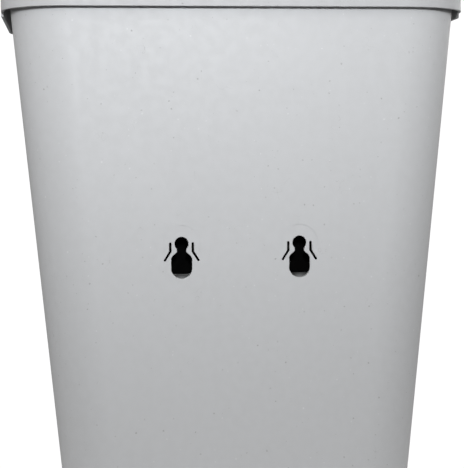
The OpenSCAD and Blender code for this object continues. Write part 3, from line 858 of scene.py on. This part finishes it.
@dataclass
class Workshop:
    """Holds the finishes and turns meshes into pieces that ride on the frame."""

    effects: Effects = field(default_factory=Effects)
    materials: dict[str, bpy.types.Material] = field(default_factory=dict)

    def material(self, finish: str) -> bpy.types.Material:
        """Returns the material of a finish, built on first use."""
        if finish not in self.materials:
            self.materials[finish] = FINISHES[finish].build(self.effects)
        return self.materials[finish]

    def piece(self, name: str, bm: Mesh, slot: str, node: str, smooth_angle: float = 32.0,
              finish: str = "") -> bpy.types.Object:
        """Makes a piece that stands for a CAD node.

        Args:
            name: Name of the piece.
            bm: Its mesh, in place; it is freed.
            slot: The record's material slot.
            node: The CAD node it replaces.
            smooth_angle: Faces that meet at less than this angle shade smoothly, in degrees.
            finish: Name of the finish, where it isn't the slot's own.

        Returns:
            The new object.
        """
        mesh = bpy.data.meshes.new(name)
        bm.to_mesh(mesh)
        bm.free()
        mesh.polygons.foreach_set("use_smooth", [True] * len(mesh.polygons))
        mesh.set_sharp_from_angle(angle=math.radians(smooth_angle))
        made = bpy.data.objects.new(name, mesh)
        bpy.context.scene.collection.objects.link(made)
        mesh.materials.append(self.material(finish or slot))
        weigh = made.modifiers.new("weighted_normals", "WEIGHTED_NORMAL")
        weigh.keep_sharp = True
        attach(made, body_of(node))
        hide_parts(node)
        log.info("%s: %d faces, stands for %s", name, len(mesh.polygons), node)
        return made

    def moulding(self, name: str, slot: str, node: str, edge: float, segments: int = 2,
                 where: Optional[EdgeTest] = None, finish: str = "") -> None:
        """Makes a piece that is its CAD node with rounded edges.

        Args:
            name: Name of the piece.
            slot: The record's material slot.
            node: The CAD node it replaces.
            edge: Width of the rounding, in millimetres.
            segments: Number of strips across the rounding.
            where: Takes an edge's middle and says whether it is rounded; all of them without it.
            finish: Name of the finish, where it isn't the slot's own.
        """
        bm = cad_copy(node)
        soften(bm, edge, where, segments)
        self.piece(name, bm, slot, node, finish=finish)


# ---- fasteners ----


@dataclass(frozen=True)
class Screw:
    """A self-tapping screw that stands head down at the origin, with its shank up."""

    shank: float
    head: float
    head_height: float
    length: float
    countersunk: bool = False
    pitch: float = 1.3
    core_share: float = 0.78
    point: float = 1.6
    face_edge: float = 0.08
    face_band: float = 0.02
    recess_share: float = 0.75
    deepest: float = 1.3
    blade_length: float = 1.05
    blade_width: float = 0.26
    blade_taper: float = 0.6
    thread_steps: int = 14
    thread_half: float = 0.3
    thread_root: float = 0.1
    steps: int = 40

    def build(self) -> Mesh:
        """Builds the head with its cross recess, the core, the point and the thread.

        Returns:
            A new bmesh, in metres.
        """
        core = self.shank * self.core_share
        top = self.head_height
        tip = top + self.length
        rim = self.head
        if self.countersunk:
            head = [(0, 0.0), (rim - 0.15, 0.0), (rim, 0.12), (self.shank, top)]
        else:
            face = [(0, 0.0), (rim * 0.55, 0.0)]
            head = face + [(rim - 0.25, 0.08), (rim, 0.35), (rim, top - 0.3), (rim - 0.15, top)]
        shank = [(core, top + 0.05), (core, tip - self.point), (core * 0.45, tip - 0.3), (0, tip)]
        bm = carve(lathe(head + shank, self.steps), self.recess())
        soften(bm, self.face_edge, where=lambda place: place.z < self.face_band * MM)
        add_to(bm, self.thread(core, top + 0.6, tip - 1.4))
        return bm

    def recess(self) -> Mesh:
        """Builds the tapered cross that is pressed into the head."""
        bm = bmesh.new()
        deep = min(self.head_height * self.recess_share, self.deepest)
        long = self.head * self.blade_length
        wide = self.head * self.blade_width
        for quarter in (0, FULL_TURN / 4):
            blade = bmesh.ops.create_cube(bm, size=1.0)["verts"]
            size = Matrix.Diagonal((long * MM, wide * MM, 2 * deep * MM, 1))
            bmesh.ops.transform(bm, matrix=Matrix.Rotation(quarter, 4, "Z") @ size, verts=blade)
        for vert in bm.verts:
            if vert.co.z > 0:
                vert.co.xy *= self.blade_taper
        return bm

    def thread(self, core: float, start: float, end: float) -> Mesh:
        """Winds the thread round the core.

        Args:
            core: Radius of the core, in millimetres.
            start: Height of the thread's start, in millimetres.
            end: Height of its end, in millimetres.

        Returns:
            A new bmesh of one closed ridge.
        """
        bm = bmesh.new()
        turns = (end - start) / self.pitch
        steps = int(self.thread_steps * turns)
        half = self.thread_half * self.pitch
        root = core - self.thread_root
        ridge = [(root, start - half), (self.shank, start), (root, start + half)]
        verts = [bm.verts.new((radius * MM, 0, height * MM)) for radius, height in ridge]
        face = bm.faces.new(verts)
        rise = (end - start) * MM / steps
        bmesh.ops.spin(
            bm, geom=[face] + list(face.edges) + verts, cent=(0, 0, 0), axis=(0, 0, 1),
            dvec=(0, 0, rise), angle=FULL_TURN * turns, steps=steps, use_merge=False,
        )
        bmesh.ops.recalc_face_normals(bm, faces=bm.faces)
        return bm

    def row(self, node: str, axis: Axis) -> Mesh:
        """Sets a copy of the screw at each solid of a CAD node.

        Args:
            node: The CAD node that holds the screws.
            axis: Direction that the shanks point in.

        Returns:
            A new bmesh with all the copies, in place.
        """
        screw = self.build()
        group = bmesh.new()
        for box in solid_boxes(node):
            add_to(group, stand(screw.copy(), start_of(box, axis), axis))
        screw.free()
        return group


# ---- sub-assemblies ----


@dataclass
class BodyAssembly:
    """The body shell, its keyhole guards with their screws, and its rubber bumpers.

    ledge_top is how high above the foot the keyholes' ledges end, and ledge_height is how far
    down from there the painted shade on them reaches.
    """

    shop: Workshop
    guard_edge: float = 0.45
    foot_edge: float = 2.2
    foot_share: float = 0.72
    foot_band: float = 0.5
    keyhole_edge: float = 0.35
    ledge_edge: float = 2.2
    ledge_top: float = 212.3
    ledge_height: float = 3.4
    ledge_depth: float = 6.8
    ledge_reach: float = 10.0
    # painted shade on the keyholes' ledges: reach of the lighter middle, its shade, and the shade further out
    lit_width: float = 5.0
    lit_height: float = 3.0
    lit_shade: float = 0.62
    deep_shade: float = 0.97
    cut_step: float = 1.0
    cuts: int = 6
    bumper_head: float = 6.0
    bumper_stem: float = 3.0
    bumper_barb: float = 3.8
    guard_screw: Screw = Screw(shank=1.4, head=2.7, head_height=1.8, length=7.0)

    def build(self) -> None:
        """Builds every piece of the body."""
        self.shell()
        self.bumpers()
        self.guards()

    def shell(self) -> None:
        """Rounds the body's foot and keyholes as a mould leaves them."""
        bm = cad_copy("bin_body")
        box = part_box("bin_body")
        foot = box[0].z + self.foot_band * MM
        rim = box[1].z - self.foot_band * MM
        centre = middle_of(box)
        reach = box[1] - centre

        def on_foot(place: Vector) -> bool:
            """Says whether a place is on the outer edge of the foot."""
            out = max(abs(place.x - centre.x) / reach.x, abs(place.y - centre.y) / reach.y)
            return place.z < foot and out > self.foot_share

        def elsewhere(place: Vector) -> bool:
            """Says whether a place is between the foot and the hidden rim."""
            return foot <= place.z <= rim

        soften(bm, self.ledge_edge, self.on_ledge, segments=8)
        soften(bm, self.foot_edge, on_foot, segments=5)
        soften(bm, self.keyhole_edge, elsewhere)
        # paints the shade of the keyholes' recesses onto their ledges
        self.paint_ledge_shade(bm)
        self.shop.piece("body_shell", bm, "stone_plastic", "bin_body")

    def on_ledge(self, place: Vector) -> bool:
        """Says whether a place is on the outer top edge of a keyhole's ledge."""
        wall_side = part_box("keyhole_guard_left")[1].y
        return abs(place.z - self.ledge_top * MM) < NEAR and abs(place.y - wall_side) < NEAR

    def ledge_faces(self, bm: Mesh, key_x: float, wall_side: float) -> list[bmesh.types.BMFace]:
        """Finds the faces of one keyhole's ledge.

        Args:
            bm: The body's mesh.
            key_x: The keyhole's middle, in metres.
            wall_side: The ledge's outer face along Y, in metres.

        Returns:
            The faces.
        """
        top = self.ledge_top * MM + NEAR
        bottom = top - self.ledge_height * MM
        found = []
        for face in bm.faces:
            place = face.calc_center_median()
            beside = abs(place.x - key_x) < self.ledge_reach * MM
            behind = -self.ledge_depth * MM < place.y - wall_side < NEAR
            if bottom < place.z < top and beside and behind:
                found.append(face)
        return found

    def paint_ledge_shade(self, bm: Mesh) -> None:
        """Paints shade onto the keyholes' ledges: lighter at their lower middle, darker further out."""
        shade_mark = bm.loops.layers.float.get(SHADE_LAYER) or bm.loops.layers.float.new(SHADE_LAYER)
        bottom = (self.ledge_top - self.ledge_height) * MM
        for side in ("left", "right"):
            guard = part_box(f"keyhole_guard_{side}")
            key_x = middle_of(guard).x
            wall_side = guard[1].y
            for step in range(-self.cuts, self.cuts + 1):
                faces = self.ledge_faces(bm, key_x, wall_side)
                parts = dict.fromkeys(
                    part for face in faces for part in (*face.verts, *face.edges, face)
                )
                cut = (key_x + step * self.cut_step * MM, 0, 0)
                bmesh.ops.bisect_plane(
                    bm, geom=list(parts), dist=FINE_WELD, plane_co=cut, plane_no=(1, 0, 0),
                )
            for face in self.ledge_faces(bm, key_x, wall_side):
                for loop in face.loops:
                    place = loop.vert.co
                    # painted shade: lightest at the ledge's lower middle, darkest further out
                    across = (place.x - key_x) / (self.lit_width * MM)
                    above = (place.z - bottom) / (self.lit_height * MM)
                    far = min(math.hypot(across, above), 1.0)
                    loop[shade_mark] = self.lit_shade + (self.deep_shade - self.lit_shade) * far

    def bumpers(self) -> None:
        """Turns the two rubber bumpers with their barbed stems."""
        both = bmesh.new()
        head = self.bumper_head
        stem = self.bumper_stem
        barb = self.bumper_barb
        for box in solid_boxes("wall_bumpers"):
            radius = size_of(box).z / 2
            reach = size_of(box).y
            face = [(0, 0.7), (radius * 0.35, 0.35), (radius * 0.6, 0.0), (radius - 1.9, 0.0)]
            side = [(radius - 1.1, 0.35), (radius - 0.6, 1.2), (radius, head - 1.2), (radius, head - 0.3)]
            neck = [(radius - 0.4, head), (stem, head), (stem, head + 2.6), (barb, head + 2.9)]
            tip = [(barb, head + 3.2), (stem - 0.3, reach - 0.5), (stem - 1.0, reach), (0, reach)]
            turned = lathe(face + side + neck + tip, 56)
            add_to(both, stand(turned, start_of(box, Axis.FRONT), Axis.FRONT))
        self.shop.piece("bumper_pair", both, "rubber", "wall_bumpers")

    def guards(self) -> None:
        """Rounds the two keyhole guards and sets their screws."""
        for side in ("left", "right"):
            # the guards take the darker copy of the black plastic, painted shade of the keyholes' insides
            self.shop.moulding(
                f"guard_shell_{side}", "black_plastic", f"keyhole_guard_{side}", self.guard_edge,
                finish="shaded_black",
            )
        screws = self.guard_screw.row("guard_screws", Axis.WALL)
        self.shop.piece("guard_screw_set", screws, "steel", "guard_screws")


@dataclass
class TopFrameAssembly:
    """The frame on the body's rim, its screws, and the ring that holds the bag."""

    shop: Workshop
    edge: float = 0.5
    ring_edge: float = 0.7
    frame_screw: Screw = Screw(shank=1.85, head=3.8, head_height=2.0, length=10.5, countersunk=True)

    def build(self) -> None:
        """Builds every piece of the top frame."""
        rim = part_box("bin_body")[1].z

        def off_rim(place: Vector) -> bool:
            """Says whether a place is away from the level where the frame sits on the body."""
            return abs(place.z - rim) > self.edge * MM

        # the frame takes the darker copy of the stone plastic: painted shade
        self.shop.moulding(
            "top_frame_shell", "stone_plastic", "top_frame", self.edge, segments=3, where=off_rim,
            finish="shaded_stone_plastic",
        )
        screws = self.frame_screw.row("frame_screws", Axis.DOWN)
        self.shop.piece("frame_screw_set", screws, "steel", "frame_screws")
        self.shop.moulding("bag_clamp_ring", "black_plastic", "bag_ring", self.ring_edge, segments=3)


@dataclass
class HingeAssembly:
    """The bridge behind the lid, the rod, its caps and the bushes."""

    shop: Workshop
    edge: float = 0.5
    rod_chamfer: float = 0.5
    bush_play: float = 0.06
    bush_wall: float = 0.89
    flange: float = 0.7
    bridge_screw: Screw = Screw(shank=1.6, head=3.2, head_height=2.0, length=9.0)

    def build(self) -> None:
        """Builds every piece of the hinge."""
        # the bridge takes the darker copy of the stone plastic: painted shade
        self.shop.moulding(
            "hinge_bridge_shell", "stone_plastic", "hinge_bridge", self.edge, finish="shaded_stone_plastic",
        )
        screws = self.bridge_screw.row("bridge_screws", Axis.UP)
        self.shop.piece("bridge_screw_set", screws, "steel", "bridge_screws")
        self.rod()
        self.caps()
        self.bushes()

    @staticmethod
    def rod_radius() -> float:
        """Returns the rod's radius, in millimetres."""
        return size_of(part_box("hinge_rod")).z / 2

    def rod(self) -> None:
        """Turns the rod with its chamfered ends."""
        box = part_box("hinge_rod")
        radius = self.rod_radius()
        length = size_of(box).x
        flat = radius - self.rod_chamfer
        outline = [
            (0, 0), (flat, 0), (radius, self.rod_chamfer), (radius, length - self.rod_chamfer),
            (flat, length), (0, length),
        ]
        turned = stand(lathe(outline, 40), start_of(box, Axis.RIGHT), Axis.RIGHT)
        self.shop.piece("hinge_rod_turned", turned, "steel", "hinge_rod")

    def caps(self) -> None:
        """Turns the two push-on caps, each with a raised collar."""
        bore = self.rod_radius()
        both = bmesh.new()
        for box in solid_boxes("rod_caps"):
            radius = size_of(box).z / 2
            thick = size_of(box).x
            outline = [
                (bore, 0), (bore + 0.5, 0.0), (bore + 0.7, 0.25), (radius - 0.5, 0.25), (radius, 0.5),
                (radius, thick), (bore, thick),
            ]
            outward = Axis.RIGHT if box[0].x > 0 else Axis.LEFT
            add_to(both, stand(lathe(outline, 32, closed=True), start_of(box, outward), outward))
        self.shop.piece("rod_cap_pair", both, "steel", "rod_caps")

    def bushes(self) -> None:
        """Turns the four flanged bushes."""
        group = bmesh.new()
        bore = self.rod_radius() + self.bush_play
        wall = bore + self.bush_wall
        boxes = solid_boxes("hinge_bushes")
        for box in boxes:
            rim = size_of(box).z / 2
            length = size_of(box).x
            outline = [
                (bore, 0.3), (bore + 0.3, 0), (rim - 0.25, 0), (rim, 0.2), (rim, self.flange),
                (wall, self.flange), (wall, length - 0.6), (wall - 0.3, length), (bore, length),
            ]
            inward = Axis.RIGHT if self.flange_is_low(box, boxes) else Axis.LEFT
            add_to(group, stand(lathe(outline, 36, closed=True), start_of(box, inward), inward))
        self.shop.piece("hinge_bush_set", group, "nylon", "hinge_bushes")

    @staticmethod
    def flange_is_low(box: Box, boxes: Sequence[Box]) -> bool:
        """Says whether a bush's flange is at its lower X, away from the middle of its barrel.

        Args:
            box: The bush's box.
            boxes: The boxes of all the bushes.

        Returns:
            True if the other bush in the same barrel is further along X.
        """
        start = box[0].x
        nearest = sorted(boxes, key=lambda other: abs(other[0].x - start))
        partner = next(other for other in nearest[1:] if other[0].x * start > 0)
        return start < partner[0].x


@dataclass
class LidAssembly:
    """The lid, the liner under it with its screws, the seal and the buffers."""

    shop: Workshop
    edge: float = 0.5
    liner_edge: float = 0.35
    seal_half: float = 2.5
    seal_corner: float = 31.0
    buffer_seat: float = 2.0
    buffer_stem: float = 1.8
    buffer_barb: float = 2.6
    liner_screw: Screw = Screw(shank=1.5, head=3.0, head_height=1.8, length=9.0)

    def build(self) -> None:
        """Builds every piece of the lid."""
        # the lid takes the darker copy of the stone plastic: painted shade
        self.shop.moulding("lid_shell", "stone_plastic", "lid", self.edge, finish="shaded_stone_plastic")
        self.shop.moulding("liner_panel", "inner_plastic", "lid_liner", self.liner_edge)
        screws = self.liner_screw.row("liner_screws", Axis.UP)
        self.shop.piece("liner_screw_set", screws, "steel", "liner_screws")
        self.seal()
        self.buffers()

    def seal(self) -> None:
        """Carries the seal's two-lipped section round the throat."""
        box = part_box("lid_seal")
        half = self.seal_half
        z0 = box[0].z / MM
        z1 = box[1].z / MM
        back = [(-half, z1 - 0.3), (-half + 0.3, z1), (half - 0.3, z1), (half, z1 - 0.3)]
        outer_lip = [(half, z0 + 0.5), (half - 0.5, z0), (half - 1.1, z0), (half - 1.6, z0 + 0.7)]
        inner_lip = [(1.6 - half, z0 + 0.7), (1.1 - half, z0), (0.5 - half, z0), (-half, z0 + 0.5)]
        section = back + outer_lip + [(0.0, z0 + 0.9)] + inner_lip
        size = size_of(box)
        centre_y = middle_of(box).y / MM
        bm = sweep_rounded(section, size.x - 2 * half, size.y - 2 * half, self.seal_corner, centre_y)
        self.shop.piece("seal_gasket", bm, "rubber", "lid_seal")

    def buffers(self) -> None:
        """Turns the two buffers with their barbed stems."""
        both = bmesh.new()
        stem = self.buffer_stem
        barb = self.buffer_barb
        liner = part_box("lid_liner")[0].z
        for box in solid_boxes("lid_buffers"):
            radius = size_of(box).x / 2
            reach = size_of(box).z
            foot = (liner - box[0].z) / MM + self.buffer_seat
            face = [(0, 0.25), (1.2, 0.0), (radius - 1.6, 0.0), (radius - 1.1, 0.3), (radius - 0.7, 1.0)]
            side = [(radius, foot - 0.7), (radius - 0.1, foot - 0.1), (stem, foot - 0.1)]
            tip = [(stem, foot + 2.0), (barb, foot + 2.2), (barb, foot + 2.5), (1.5, reach - 0.1), (0, reach)]
            add_to(both, stand(lathe(face + side + tip, 36), start_of(box, Axis.UP)))
        self.shop.piece("buffer_pair", both, "rubber", "lid_buffers")


@dataclass
class FilterAssembly:
    """The charcoal pad and the slotted cover that holds it."""

    shop: Workshop
    cover_edge: float = 0.35
    rings: int = 34
    spokes: int = 160
    face_share: float = 0.98
    ring_spread: float = 0.8
    crown: float = 0.35
    coarse_cell: float = 1.7
    fine_cell: float = 0.8
    fine_share: float = 0.6
    skin_depth: float = 0.32
    rim_share: float = 0.004
    fill: float = 0.9

    def build(self) -> None:
        """Builds both pieces of the filter."""
        self.pad()
        self.shop.moulding("filter_grille", "filter_plastic", "filter_cover", self.cover_edge)

    def pad(self) -> None:
        """Builds the die-cut foam disc: crowned faces, rounded edges and an open, uneven skin."""
        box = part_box("filter_pad")
        radius = size_of(box).x / 2
        thick = size_of(box).z
        half = thick / 2
        steps = [i / self.rings for i in range(self.rings)]
        face = [(radius * self.face_share * t ** self.ring_spread, self.crown * t ** 3) for t in steps]
        edge = [(radius - 0.5, 0.7), (radius - 0.25, 1.6), (radius - 0.35, half - 1), (radius - 0.45, half)]
        lower = face + edge
        upper = [(r, thick - h) for r, h in reversed(lower[:-1])]
        bm = lathe(lower + upper, self.spokes)
        for vert in bm.verts:
            coarse = noise.noise(vert.co / (self.coarse_cell * MM))
            rough = abs(coarse + self.fine_share * noise.noise(vert.co / (self.fine_cell * MM)))
            pulled = 1 - rough * self.skin_depth / half
            vert.co.z = half * MM + (vert.co.z - half * MM) * pulled
            vert.co.xy *= 1 - rough * self.rim_share
        stand(bm, start_of(box, Axis.UP))
        made = self.shop.piece("charcoal_pad", bm, "charcoal_foam", "filter_pad", smooth_angle=60)


@dataclass
class LockAssembly:
    """The quarter-turn lock: knob, bar, bush and screw."""

    shop: Workshop
    knob_edge: float = 0.35
    bar_edge: float = 0.3
    shaft: float = 3.06
    bush_wall: float = 4.5
    flange: float = 1.2
    lock_screw: Screw = Screw(shank=1.55, head=3.0, head_height=1.8, length=8.2)

    def build(self) -> None:
        """Builds every piece of the lock."""
        self.shop.moulding("knob_moulding", "black_plastic", "lock_knob", self.knob_edge, segments=3)
        self.shop.moulding("locking_bar", "steel", "lock_bar", self.bar_edge)
        self.bush()
        screw = self.lock_screw.row("lock_screw", Axis.DOWN)
        self.shop.piece("knob_screw", screw, "steel", "lock_screw")

    def bush(self) -> None:
        """Turns the bush that the lock's shaft runs in."""
        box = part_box("lock_bush")
        head = size_of(box).x / 2
        length = size_of(box).z
        bore = self.shaft
        wall = self.bush_wall
        outline = [
            (bore, 0.3), (bore + 0.3, 0), (head - 0.4, 0), (head, 0.4), (head, self.flange),
            (wall, self.flange), (wall, length - 0.3), (wall - 0.3, length), (bore + 0.3, length),
            (bore, length - 0.3),
        ]
        turned = stand(lathe(outline, 44, closed=True), start_of(box, Axis.UP))
        self.shop.piece("lock_bush_turned", turned, "nylon", "lock_bush")


# ---- studio ----


@dataclass(frozen=True)
class Lamp:
    """A square area light: places and size in metres, power in watts, spread in degrees."""

    name: str
    place: Point
    target: Point
    size: float
    power: float
    spread: float = 180.0
    colour: Point = (1.0, 1.0, 1.0)

    def hang(self) -> None:
        """Hangs the light and turns it to its target."""
        data = bpy.data.lights.new(self.name, "AREA")
        data.shape = "SQUARE"
        data.size = self.size
        data.energy = self.power
        data.color = self.colour
        data.spread = math.radians(self.spread)
        made = bpy.data.objects.new(self.name, data)
        bpy.context.scene.collection.objects.link(made)
        made.location = self.place
        made.rotation_euler = (Vector(self.target) - Vector(self.place)).to_track_quat("-Z", "Y").to_euler()


LAMPS = (
    Lamp("key_light", (0.07, 1.05, 0.54), (0.02, 0.09, 0.50), size=0.09, power=1.40, spread=72.0,
         colour=(0.950, 0.973, 1.0)),
    Lamp("left_light", (0.98, 0.52, 0.70), (0.0, 0.0, 0.25), size=0.5, power=2.3),
    Lamp("right_light", (-0.98, 0.52, 0.70), (0.0, 0.0, 0.25), size=0.5, power=2.3),
    Lamp("fill_light", (-0.9, -0.9, 0.9), (0.0, 0.0, 0.25), size=0.9, power=11.0),
    Lamp("top_light", (0.7, -0.3, 1.1), (0.0, 0.0, 0.3), size=0.8, power=4.0),
)


@dataclass
class Studio:
    """The camera, the lights, the pale floor and the white surroundings."""

    camera_place: Point = (0.1021, 1.0465, 0.2791)
    azimuth: float = 174.212
    elevation: float = 2.492
    roll: float = -0.383
    lens: float = 117.67
    sensor: float = 36.0
    clip: Range = (0.01, 20.0)
    floor_radius: float = 0.34
    floor_solid: float = 0.45
    floor_sides: int = 96
    floor_roughness: float = 0.8
    floor_grain: float = 40.0
    floor_dark: Colour = grey(0.86)
    floor_pale: Colour = grey(0.90)
    sky: float = 0.36
    ground: float = 0.09
    horizon: float = 0.3
    seen_white: float = 1.05
    warm_white: Colour = (1.0, 0.99, 0.97, 1.0)

    def build(self) -> None:
        """Sets the whole studio up."""
        self.camera()
        self.floor()
        for lamp in LAMPS:
            lamp.hang()
        self.surroundings()

    def camera(self) -> None:
        """Places the camera on the wall's side of the bin, nearly level with its middle."""
        data = bpy.data.cameras.new("studio_camera")
        data.sensor_fit = "HORIZONTAL"
        data.sensor_width = self.sensor
        data.lens = self.lens
        data.clip_start, data.clip_end = self.clip
        made = bpy.data.objects.new("studio_camera", data)
        bpy.context.scene.collection.objects.link(made)
        turn, lift, roll = (math.radians(value) for value in (self.azimuth, self.elevation, self.roll))
        back = Vector((math.sin(turn) * math.cos(lift), -math.cos(turn) * math.cos(lift), math.sin(lift)))
        level = Vector((0, 0, 1)).cross(back).normalized()
        upright = back.cross(level)
        right = level * math.cos(roll) + upright * math.sin(roll)
        above = upright * math.cos(roll) - level * math.sin(roll)
        basis = Matrix((right, above, back)).transposed().to_4x4()
        made.matrix_world = Matrix.Translation(self.camera_place) @ basis
        bpy.context.scene.camera = made

    def floor(self) -> None:
        """Lays a round floor under the bin."""
        bm = bmesh.new()
        bmesh.ops.create_circle(bm, cap_ends=True, segments=self.floor_sides, radius=self.floor_radius)
        mesh = bpy.data.meshes.new("studio_floor")
        bm.to_mesh(mesh)
        bm.free()
        mesh.materials.append(self.floor_material())
        made = bpy.data.objects.new("studio_floor", mesh)
        bpy.context.scene.collection.objects.link(made)

    def floor_material(self) -> bpy.types.Material:
        """Builds a pale material that fades out at the floor's rim and doesn't show from below.

        Returns:
            The material.
        """
        material = bpy.data.materials.new("studio_floor")
        material.use_nodes = True
        links = Links(material.node_tree)
        shader = material.node_tree.nodes["Principled BSDF"]
        shader.inputs["Roughness"].default_value = self.floor_roughness
        grain = links.noise(links.place(), self.floor_grain, 3.0)
        colour = links.mix(grain.outputs[0], self.floor_dark, self.floor_pale)
        links.join(colour, shader.inputs["Base Color"])
        distance = links.node("ShaderNodeVectorMath", operation="LENGTH")
        links.join(links.place(), distance.inputs[0])
        fade = (self.floor_radius * self.floor_solid, self.floor_radius)
        faded = links.ramp(distance.outputs["Value"], fade)
        under = links.node("ShaderNodeNewGeometry").outputs["Backfacing"]
        blend = links.node("ShaderNodeMixShader")
        links.join(links.math("MAXIMUM", faded, under), blend.inputs[0])
        links.join(shader.outputs[0], blend.inputs[1])
        links.join(links.node("ShaderNodeBsdfTransparent").outputs[0], blend.inputs[2])
        links.join(blend.outputs[0], material.node_tree.nodes["Material Output"].inputs["Surface"])
        return material

    def surroundings(self) -> None:
        """Makes the surroundings plain white to look at, and a dimmer light that is weaker from below."""
        world = bpy.data.worlds.new("studio_world")
        bpy.context.scene.world = world
        world.use_nodes = True
        links = Links(world.node_tree)
        background = world.node_tree.nodes["Background"]
        seen = links.node("ShaderNodeLightPath").outputs["Is Camera Ray"]
        direction = links.node("ShaderNodeSeparateXYZ")
        links.join(links.node("ShaderNodeTexCoord").outputs["Generated"], direction.inputs[0])
        lit = links.ramp(direction.outputs["Z"], (-self.horizon, self.horizon), (self.ground, self.sky))
        lit = links.times(lit, links.math("SUBTRACT", 1.0, seen))
        strength = links.math("ADD", lit, links.times(seen, self.seen_white))
        links.join(strength, background.inputs["Strength"])
        links.join(links.mix(seen, self.warm_white, (1.0, 1.0, 1.0, 1.0)), background.inputs["Color"])
        bpy.context.scene.view_settings.view_transform = "Standard"


def main() -> None:
    """Builds the studio and every sub-assembly in order."""
    logging.basicConfig(level=logging.INFO, format="%(name)s %(message)s")
    Studio().build()
    shop = Workshop()
    kinds = (BodyAssembly, TopFrameAssembly, HingeAssembly, LidAssembly, FilterAssembly, LockAssembly)
    for kind in kinds:
        log.info("building %s", kind.__name__)
        kind(shop).build()


if __name__ == "__main__":
    main()
